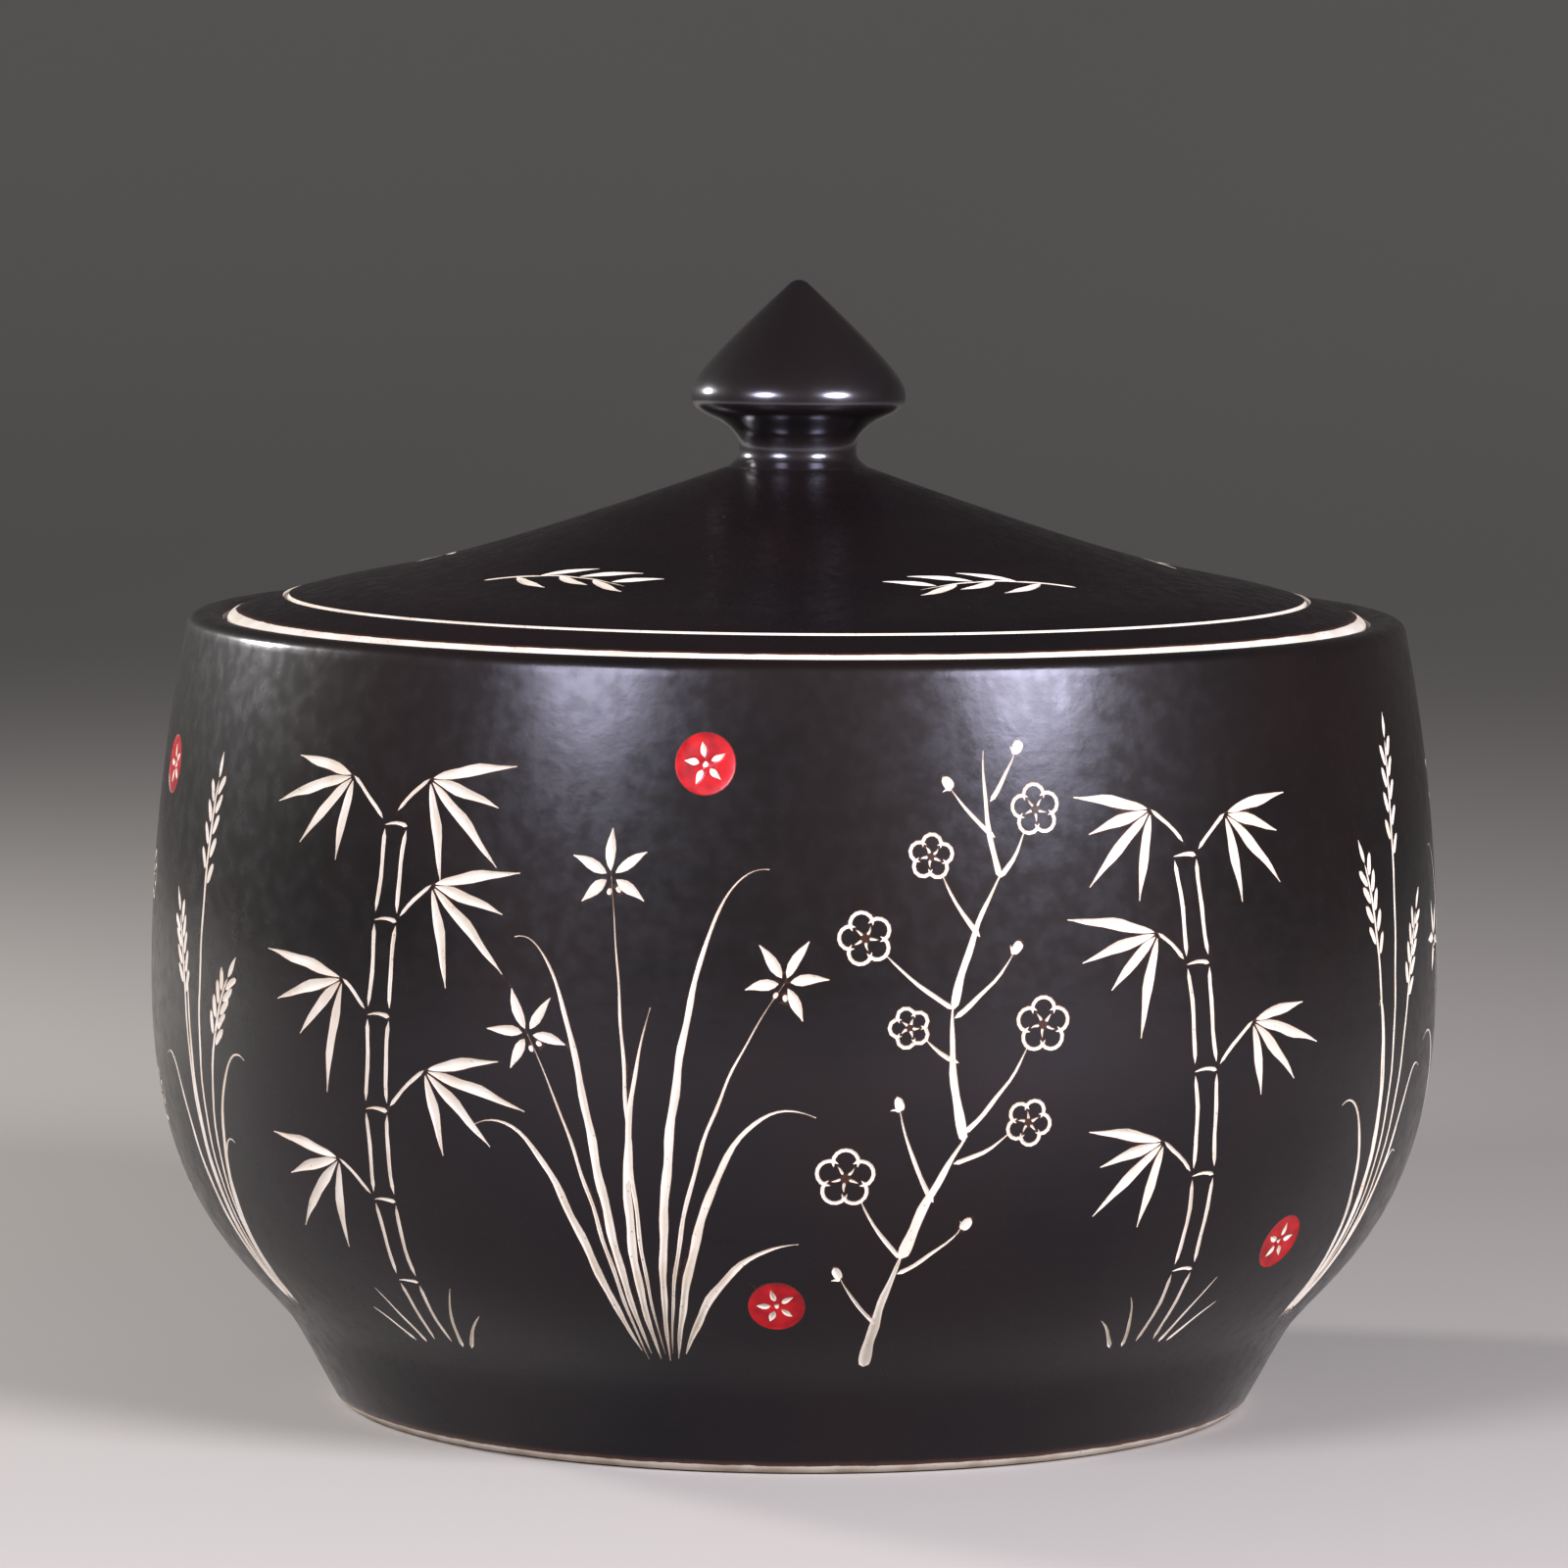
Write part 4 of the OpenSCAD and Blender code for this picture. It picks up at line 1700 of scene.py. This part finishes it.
@dataclass
class JarBody(Turned):
    """The jar: foot, bowl, belly, shoulder, lip, and inside it the lid's seat, the shelf, the wall and the floor."""

    floor_radius: float = 60.0
    floor_height: float = 11.0
    floor_pulls: tuple[float, float] = (0.28, 0.5)
    hollow_height: float = 3.5
    hollow_radius: float = 94.3
    ring: tuple[float, float] = (97.8, 105.8)
    foot: tuple[float, float] = (107.0, 1.2)
    foot_heading: float = 60.5
    foot_pulls: tuple[float, float] = (0.51, 0.21)
    waist: tuple[float, float] = (118.8, 21.5)
    waist_heading: float = 50.6
    bowl_pulls: tuple[float, float] = (0.195, 0.618)
    belly: tuple[float, float] = (149.95, 99.0)
    wall_pulls: tuple[float, float] = (1 / 3, 1 / 3)
    lip_edge: tuple[float, float] = (141.6, 181.0)
    lip_turn: float = 11.7
    lip_height: float = 183.5
    crest_radius: float = 138.07
    step_radius: float = 133.2
    step_top: float = 182.0
    seat_height: float = SEAT_HEIGHT
    mouth_radius: float = 124.0
    mouth_bottom: float = 174.0
    mouth_soft: float = 0.8
    shelf_heading: float = -30.0
    shelf_pulls: tuple[float, float] = (0.3, 0.45)
    inner_top: tuple[float, float] = (138.374, 156.0)
    inner_turn: float = 8.26
    wall: float = 7.5
    edge: float = 1.0
    soft: float = 0.5
    drawn_to: float = 176.0
    segments: int = 240
    glaze_under: float = 92.0
    glaze_foot: float = 1.8
    glaze_lip: float = 181.9
    glaze_mouth: float = 176.3
    plantings: tuple[Planting, ...] = (
        Planting(Bamboo(leaf=20), 0.98, 6),
        Planting(Reed(), 0.94, 8, True),
        Planting(Orchid(), 1.0, 14),
        Planting(Plum(), 0.95, 8, True),
        Planting(LOW_REED, 1.0, 10),
        Planting(Bamboo(height=140, sweep=-7), 1.0, 7, True),
        Planting(Orchid(), 1.04, 10),
        Planting(Plum(), 0.97, 7),
        Planting(Bamboo(height=132, joints=5, sweep=11, leaf=22), 1.0, 9, True),
        Planting(Reed(), 0.96, 8),
        Planting(Orchid(height=124), 0.98, 16),
        Planting(Bamboo(sweep=6), 0.97, 6, True),
        Planting(Plum(), 0.93, 10, True),
        Planting(LOW_REED, 1.05, 9, True),
    )
    medallions: tuple[tuple[float, float], ...] = (
        (0.147, 131), (0.290, 138), (0.4785, 149), (0.496, 27), (0.641, 36), (0.865, 34),
    )

    OUTER_STEPS = 60  # of each half of the outer wall
    THINNED = 3  # how many of those steps go into one where nothing is drawn
    FOOT_STEPS, SHELF_STEPS, WALL_STEPS, BOWL_STEPS, BEND_STEPS, SEAT_STEPS = 12, 12, 14, 24, 14, 5
    LEVEL_PITCH = 8.0

    def section(self) -> Section:
        """Half of the section, from the middle of the underside over the lip to the middle of the floor.

        Returns:
            The section.
        """
        hollow = [(0, self.hollow_height), (self.hollow_radius, self.hollow_height)]
        under = [*hollow, (self.ring[0], 0), (self.ring[1], 0), self.foot]
        bowl_leads = leads(self.waist, self.waist_heading, self.belly, 90, self.bowl_pulls)
        shoulder = leads(self.belly, 90, self.lip_edge, 90 + self.lip_turn, self.wall_pulls)
        outer = np.vstack([cubic(bowl_leads, self.OUTER_STEPS)[:-1], cubic(shoulder, self.OUTER_STEPS)])
        drawn = int((outer[:, 1] <= self.drawn_to).sum())
        drop = self.lip_height - self.lip_edge[1]
        elbow = (self.lip_edge[0] - drop * math.tan(math.radians(self.lip_turn)), self.lip_height)
        crest, step = (self.crest_radius, self.lip_height), (self.step_radius, self.step_top)
        mouth_top = (self.mouth_radius, self.seat_height - self.edge)
        mouth_end = (self.mouth_radius, self.mouth_bottom)
        seat_end = (self.mouth_radius + self.edge, self.seat_height)
        inward = self.inner_turn - 90
        shelf = cubic(leads(mouth_end, self.shelf_heading, self.inner_top, inward, self.shelf_pulls), self.SHELF_STEPS)
        inner_belly = (self.belly[0] - self.wall, self.belly[1])
        bowl = cubic(bowl_leads, self.BOWL_STEPS, self.wall)[::-1]
        floor = (self.floor_radius, self.floor_height)
        return Section({
            "under": filled(softened(under, self.soft), self.LEVEL_PITCH),
            "foot": cubic(
                leads(self.foot, self.foot_heading, self.waist, self.waist_heading, self.foot_pulls), self.FOOT_STEPS
            ),
            "wall": outer[:drawn],
            "lip": np.vstack([
                outer[drawn - 1 :: self.THINNED],
                outer[-1:],
                corner(self.lip_edge, elbow, crest),
                corner(crest, (self.step_radius, self.lip_height), step)[1:],
            ]),
            "step": softened([step, (self.step_radius, self.seat_height), seat_end], self.soft),
            "seat": corner(seat_end, (self.mouth_radius, self.seat_height), mouth_top, self.SEAT_STEPS),
            "mouth": softened([mouth_top, mouth_end, tuple(shelf[1])], self.mouth_soft),
            "shelf": shelf[1:],
            "inner_wall": cubic(leads(self.inner_top, inward, inner_belly, -90, self.wall_pulls), self.WALL_STEPS),
            "inner_bowl": bowl,
            "floor_bend": cubic(
                leads(bowl[-1], self.waist_heading - 180, floor, 180, self.floor_pulls), self.BEND_STEPS
            ),
            "floor": filled(np.array([floor, (0, self.floor_height)]), self.LEVEL_PITCH),
        })

    def relief(self, ground: WallField) -> Relief:
        """The drawing all round the wall: the plants at even steps, and a few small medallions.

        Args:
            ground: The field they are drawn on.

        Returns:
            The cuts.
        """
        pitch = ground.width / len(self.plantings)
        strokes = []
        for number, planting in enumerate(self.plantings):
            place = ((number + 0.5) * pitch, planting.foot)
            strokes += [s.moved(place, 0, planting.scale, planting.mirrored) for s in planting.plant.strokes()]
        medallions = []
        for turn, height in self.medallions:
            medallions.append(Medallion((turn * ground.width, height)))
            strokes += medallions[-1].strokes(360 * turn)
        return Relief(strokes, medallions)

    def surface(self) -> Patch:
        """The foot, the drawn wall, and everything from the lip inwards.

        Returns:
            The closed surface.
        """
        section = self.section()
        glazing = Glazing([
            section.arc_at("under", radius=self.glaze_under),
            section.arc_at("foot", height=self.glaze_foot),
            section.arc_at("step", height=self.glaze_lip),
            section.arc_at("mouth", height=self.glaze_mouth),
        ], starts_glazed=True)
        ground = WallField(section, glazing, "wall", self.belly[0], self.segments)
        return Patch.joined([
            revolved(section, glazing, "under", "foot", self.segments),
            carved_patch(ground, self.relief(ground)),
            revolved(section, glazing, "lip", "floor", self.segments),
        ])


@dataclass
class Lid(Turned):
    """The lid: a hollow shell with a locating ring underneath, a rounded bare edge and an incised ring."""

    vent_radius: float = 1.5
    crown: tuple[float, float] = CROWN
    crown_slope: float = 19.6
    brim: tuple[float, float] = (130.3, 184.0)
    brim_slope: float = 17.9
    top_pulls: tuple[float, float] = (0.835, 0.378)
    edge_radius: float = 132.4
    seat_height: float = SEAT_HEIGHT
    edge_round: float = 2.1
    shell: float = 5.5
    level_from: float = 31.16
    level_pulls: tuple[float, float] = (0.3, 0.5)
    ring_outer: float = 122.8
    ring_inner: float = 118.8
    ring_bottom: float = 171.0
    ring_corner: float = 6.0
    soft: float = 1.0
    seat_soft: float = 0.3
    groove_radius: float = 118.8
    groove_width: float = 1.4
    groove_depth: float = 0.8
    groove_margin: float = 0.2
    drawn: tuple[float, float] = (22.0, 114.0)
    segments: int = 240
    glaze_edge: float = 131.15
    glaze_under: float = 176.0
    sprays: int = 5
    spray_radius: float = 84.0
    first_spray: float = 230.0

    TOP_STEPS, LEVEL_STEPS, GROOVE_STEPS, CORNER_STEPS = 140, 10, 10, 5
    RIM_THINNED, EDGE_THINNED, UNDER_THINNED = 2, 3, 5  # how many of the top's steps go into one of theirs

    def groove(self, top: Array) -> Array:
        """The incised ring's round bottom, from its outer edge to its inner one.

        Half its width times the cosine of an angle from 0 to a half turn is added to the radius, and its
        depth times a power of the sine is taken from the height.

        Args:
            top: Points of the top's curve.

        Returns:
            The points of the bottom.
        """
        angle = np.linspace(0, math.pi, self.GROOVE_STEPS + 1)
        radius = self.groove_radius + self.groove_width / 2 * np.cos(angle)
        height = np.interp(radius, top[:, 0], top[:, 1])
        return np.column_stack([radius, height - self.groove_depth * np.abs(np.sin(angle)) ** GROOVE_POWER])

    def underside(self, top: Array) -> dict[str, Array]:
        """The hollow shell's underside, the locating ring, the seat and the edge, from the vent outwards.

        Args:
            top: Points of the top's curve.

        Returns:
            The parts of the section by name.
        """
        radius = top[:, 0]
        lowered = top - [0, self.shell / math.cos(math.radians(self.crown_slope))]
        shown = (radius > self.level_from) & (radius < self.ring_inner - self.ring_corner)
        under = lowered[shown][:: self.UNDER_THINNED]
        vent_bottom = (self.vent_radius, self.crown[1] - self.shell)
        level = cubic(leads(under[0], 180 - self.crown_slope, vent_bottom, 180, self.level_pulls), self.LEVEL_STEPS)
        ring_in, ring_out, bottom, soft = self.ring_inner, self.ring_outer, self.ring_bottom, self.soft
        slope = math.tan(math.radians(self.brim_slope))
        elbow = (ring_in, under[-1, 1] - (ring_in - under[-1, 0]) * slope)
        bend = corner(under[-1], elbow, (ring_in, under[-1, 1] - self.ring_corner))
        rim, seat, few = self.edge_radius, self.seat_height, self.CORNER_STEPS
        brim_elbow = (rim, self.brim[1] - self.edge_round * slope)
        return {
            "level": level[::-1],
            "under": under,
            "bend": bend,
            "ring_in": np.array([bend[-1], (ring_in, bottom + soft)]),
            "ring_low": np.vstack([
                corner((ring_in, bottom + soft), (ring_in, bottom), (ring_in + soft, bottom), few),
                corner((ring_out - soft, bottom), (ring_out, bottom), (ring_out, bottom + soft), few),
            ]),
            "seat": softened([(ring_out, bottom + soft), (ring_out, seat), (rim - soft, seat)], self.seat_soft),
            "edge": np.vstack([
                corner((rim - soft, seat), (rim, seat), (rim, seat + soft), few),
                corner((rim, self.brim[1] - self.edge_round), brim_elbow, self.brim),
            ]),
        }

    def section(self) -> Section:
        """The whole section as a closed line, from the vent's lower edge round the lid and back down the vent.

        Returns:
            The section.
        """
        top = cubic(leads(self.crown, -self.crown_slope, self.brim, -self.brim_slope, self.top_pulls), self.TOP_STEPS)
        falling = top[::-1]
        radius = falling[:, 0]
        groove = self.groove(top)
        outside = falling[radius > groove[0, 0] + self.groove_margin][:: self.EDGE_THINNED]
        rim_zone = falling[(radius < groove[-1, 0] - self.groove_margin) & (radius > self.drawn[1])]
        field_zone = falling[(radius < self.drawn[1]) & (radius > self.drawn[0])]
        crown_zone = falling[radius < self.drawn[0]][:: self.RIM_THINNED]
        vent = np.array([(self.vent_radius, self.crown[1]), (self.vent_radius, self.crown[1] - self.shell)])
        return Section({
            **self.underside(top),
            "top_edge": np.vstack([outside, groove[:1]]),
            "groove": groove,
            "top_rim": np.vstack([groove[-1:], rim_zone[:: self.RIM_THINNED], field_zone[:1]]),
            "top": field_zone,
            "crown": np.vstack([field_zone[-1:], crown_zone, [self.crown], vent[:1]]),
            "vent": vent,
        })

    def relief(self) -> Relief:
        """A spray of leaves every so many degrees, upright as seen from outside.

        Returns:
            The cuts.
        """
        strokes = []
        for number in range(self.sprays):
            angle = self.first_spray + 360 * number / self.sprays
            place = tuple(self.spray_radius * along(angle))
            strokes += [s.moved(place, angle + 90, 1.0, number % 2 == 1) for s in Spray().strokes()]
        return Relief(strokes, [])

    def surface(self) -> Patch:
        """Everything but the drawn part of the top, and that part.

        Returns:
            The closed surface.
        """
        section = self.section()
        glazing = Glazing(
            [section.arc_at("ring_in", height=self.glaze_under), section.arc_at("top_edge", radius=self.glaze_edge)],
            starts_glazed=True,
        )
        ground = TopField(section, glazing, "top", self.segments)
        return Patch.joined([
            revolved(section, glazing, "level", "top_rim", self.segments, carved="groove"),
            carved_patch(ground, self.relief()),
            revolved(section, glazing, "crown", "vent", self.segments),
        ])


@dataclass
class Knob(Turned):
    """The knob: a flared foot, a neck and a pointed bud, hollow from below."""

    top: float = 261.0
    crown: tuple[float, float] = CROWN
    neck: tuple[float, float] = (13.6, 221.5)
    flare_pulls: tuple[float, float] = (0.3, 0.5)
    bud: tuple[float, float] = (25.0, 233.7)
    swell_pulls: tuple[float, float] = (0.475, 0.3)
    bud_pulls: tuple[float, float] = (0.084, 0.885)
    point: float = 47.2
    tip_radius: float = 3.3
    hollow_top: float = 249.0
    hollow_radius: float = 14.0
    hollow_pulls: tuple[float, float] = (0.4, 0.45)
    bore: float = 6.1
    segments: int = 160
    glaze_from: float = 12.5

    HOLLOW_STEPS, FLARE_STEPS, SWELL_STEPS, BUD_STEPS, TIP_POINTS = 10, 10, 24, 40, 10

    def section(self) -> Section:
        """Half of the section, from the top of the hollow down, round the foot and up to the tip.

        Returns:
            The section.
        """
        centre = np.array([0, self.top - self.tip_radius])
        tip = centre + self.tip_radius * along(np.linspace(self.point, 90, self.TIP_POINTS))
        tip[-1, 0] = 0
        side, bore_top = (self.hollow_radius, self.bud[1]), (self.bore, self.neck[1])
        bore_end = (self.bore, self.crown[1])
        roof = leads((0, self.hollow_top), -self.point, side, -90, self.hollow_pulls)
        throat = leads(side, -90, bore_top, -90, self.hollow_pulls)
        return Section({
            "hollow": cubic(roof, self.HOLLOW_STEPS),
            "throat": cubic(throat, self.HOLLOW_STEPS),
            "bore": np.array([bore_top, bore_end]),
            "flat": np.array([bore_end, (self.glaze_from, self.crown[1]), self.crown]),
            "flare": cubic(leads(self.crown, 180 - self.point, self.neck, 90, self.flare_pulls), self.FLARE_STEPS),
            "swell": cubic(leads(self.neck, 90, self.bud, 90, self.swell_pulls), self.SWELL_STEPS),
            "bud": cubic(leads(self.bud, 90, tip[0], 90 + self.point, self.bud_pulls), self.BUD_STEPS),
            "tip": tip,
        })

    def surface(self) -> Patch:
        """The whole section swept round.

        Returns:
            The closed surface.
        """
        section = self.section()
        glazing = Glazing([section.arc_at("flat", radius=self.glaze_from)], starts_glazed=False)
        return Patch.joined([revolved(section, glazing, "hollow", "tip", self.segments)])


# The studio


@dataclass(frozen=True)
class SoftLight:
    """An oval soft light that faces the jar."""

    name: str
    azimuth: float
    elevation: float
    distance: float
    width: float
    height: float
    radiance: float
    colour: tuple[float, float, float]

    def place(self, middle: Vector) -> None:
        """Puts the light into the scene, at an azimuth from the camera's side and an elevation.

        Args:
            middle: The point that it faces.
        """
        turn, rise = math.radians(self.azimuth), math.radians(self.elevation)
        way = Vector((math.sin(turn) * math.cos(rise), -math.cos(turn) * math.cos(rise), math.sin(rise)))
        data = bpy.data.lights.new(self.name, "AREA")
        data.shape, data.size, data.size_y = "ELLIPSE", self.width, self.height
        data.energy = self.radiance * math.pi * self.width * self.height * math.pi / 4
        data.color = self.colour
        light = bpy.data.objects.new(self.name, data)
        turned = way.to_track_quat("Z", "Y").to_matrix().to_4x4()
        light.matrix_world = Matrix.Translation(middle + way * self.distance) @ turned
        bpy.context.scene.collection.objects.link(light)


@dataclass(frozen=True)
class Studio:
    """The pale floor that rises slowly all round, the soft lights and the camera."""

    middle: tuple[float, float, float] = (0, 0, 0.12)
    floor_colour: Colour = (0.45, 0.43, 0.395, 1)
    floor_rough: float = 0.7
    floor_gloss: float = 0.2
    floor_level: float = -0.0003
    floor_inner: float = 0.6
    floor_flat: float = 1.9
    floor_reach: float = 5.2
    floor_rise: float = 0.08
    floor_rings: int = 24
    floor_segments: int = 96
    world: Colour = (0.06, 0.06, 0.064, 1)
    camera_place: tuple[float, float, float] = (-0.00264, -1.8014, 0.3164)
    camera_pitch: float = 5.487
    camera_roll: float = 0.42
    focal_pixels: float = 7905.0
    picture: float = 1600.0
    sensor: float = 36.0
    lights: tuple[SoftLight, ...] = (
        SoftLight("front_left_light", -37, 23.3, 1.5, 0.60, 0.54, 28, (0.92, 0.89, 1.0)),
        SoftLight("front_right_light", 42.5, 23.3, 1.5, 0.62, 0.56, 44, (0.92, 0.89, 1.0)),
        SoftLight("left_rear_light", -117, 18, 1.4, 0.24, 0.24, 105, (1.0, 0.98, 0.96)),
    )

    def floor(self) -> None:
        """A round sheet that lies level round the jar and from there rises with the cube of the distance."""
        radius = np.append(self.floor_inner, np.linspace(self.floor_flat, self.floor_reach, self.floor_rings))
        height = self.floor_rise * np.maximum(radius - self.floor_flat, 0) ** 3 + self.floor_level
        level = radius[:, None, None] * along(np.arange(self.floor_segments) * 360 / self.floor_segments)
        points = np.dstack([level, np.repeat(height[:, None], self.floor_segments, axis=1)]).reshape(-1, 3)
        number = np.arange(len(points)).reshape(-1, self.floor_segments)
        turned = np.roll(number, -1, axis=1)
        quads = np.stack([number[:-1], number[1:], turned[1:], turned[:-1]], axis=-1).reshape(-1, 4)
        faces = [number[0].tolist(), *quads.tolist()]
        mesh = bpy.data.meshes.new("floor")
        mesh.from_pydata(points.tolist(), [], faces)
        mesh.polygons.foreach_set("use_smooth", np.ones(len(faces), bool))
        floor = bpy.data.objects.new("floor", mesh)
        bpy.context.scene.collection.objects.link(floor)
        material, graph = new_material("floor_paper")
        graph.surface({
            "Base Color": self.floor_colour, "Roughness": self.floor_rough, "Specular IOR Level": self.floor_gloss,
        })
        mesh.materials.append(material)

    def sky(self) -> None:
        """An even, dim light from everywhere."""
        world = bpy.data.worlds.new("studio")
        world.use_nodes = True
        world.node_tree.nodes["Background"].inputs["Color"].default_value = self.world
        bpy.context.scene.world = world

    def camera(self) -> None:
        """The camera of the photograph's view, found from its outline."""
        data = bpy.data.cameras.new("camera")
        data.sensor_width = data.sensor_height = self.sensor
        data.lens = self.sensor * self.focal_pixels / self.picture
        camera = bpy.data.objects.new("camera", data)
        camera.matrix_world = (
            Matrix.Translation(self.camera_place)
            @ Matrix.Rotation(math.radians(90 - self.camera_pitch), 4, "X")
            @ Matrix.Rotation(math.radians(self.camera_roll), 4, "Z")
        )
        bpy.context.scene.collection.objects.link(camera)
        bpy.context.scene.camera = camera

    def build(self) -> None:
        """Puts everything into the scene."""
        self.floor()
        self.sky()
        self.camera()
        for light in self.lights:
            light.place(Vector(self.middle))
        bpy.context.scene.view_settings.view_transform = "Standard"


BODY_FINISH = GlazedClay("body_glaze")
LID_FINISH = GlazedClay(
    "lid_glaze", dark=(0.0046, 0.0033, 0.0037, 1), brown=(0.0082, 0.0046, 0.0049, 1),
    gloss=0.08, gloss_rough=0.28, sheen=0.12, sheen_rough=0.58,
)
KNOB_FINISH = GlazedClay(
    "knob_glaze", dark=(0.0046, 0.0040, 0.0050, 1), gloss=1.0, gloss_rough=0.2, gloss_spread=0.04, peel=0.00002,
)


def main() -> None:
    """Builds the studio and the pieces."""
    logging.basicConfig(level=logging.INFO, format="%(name)s: %(message)s")
    Studio().build()
    pieces: list[Turned] = [
        JarBody("jar_body", "jar", "body_glaze", BODY_FINISH),
        Lid("lid", "lid", "lid_glaze", LID_FINISH),
        Knob("lid_knob", "lid", "knob_glaze", KNOB_FINISH),
    ]
    for piece in pieces:
        piece.dress(piece.build())


if __name__ == "__main__":
    main()
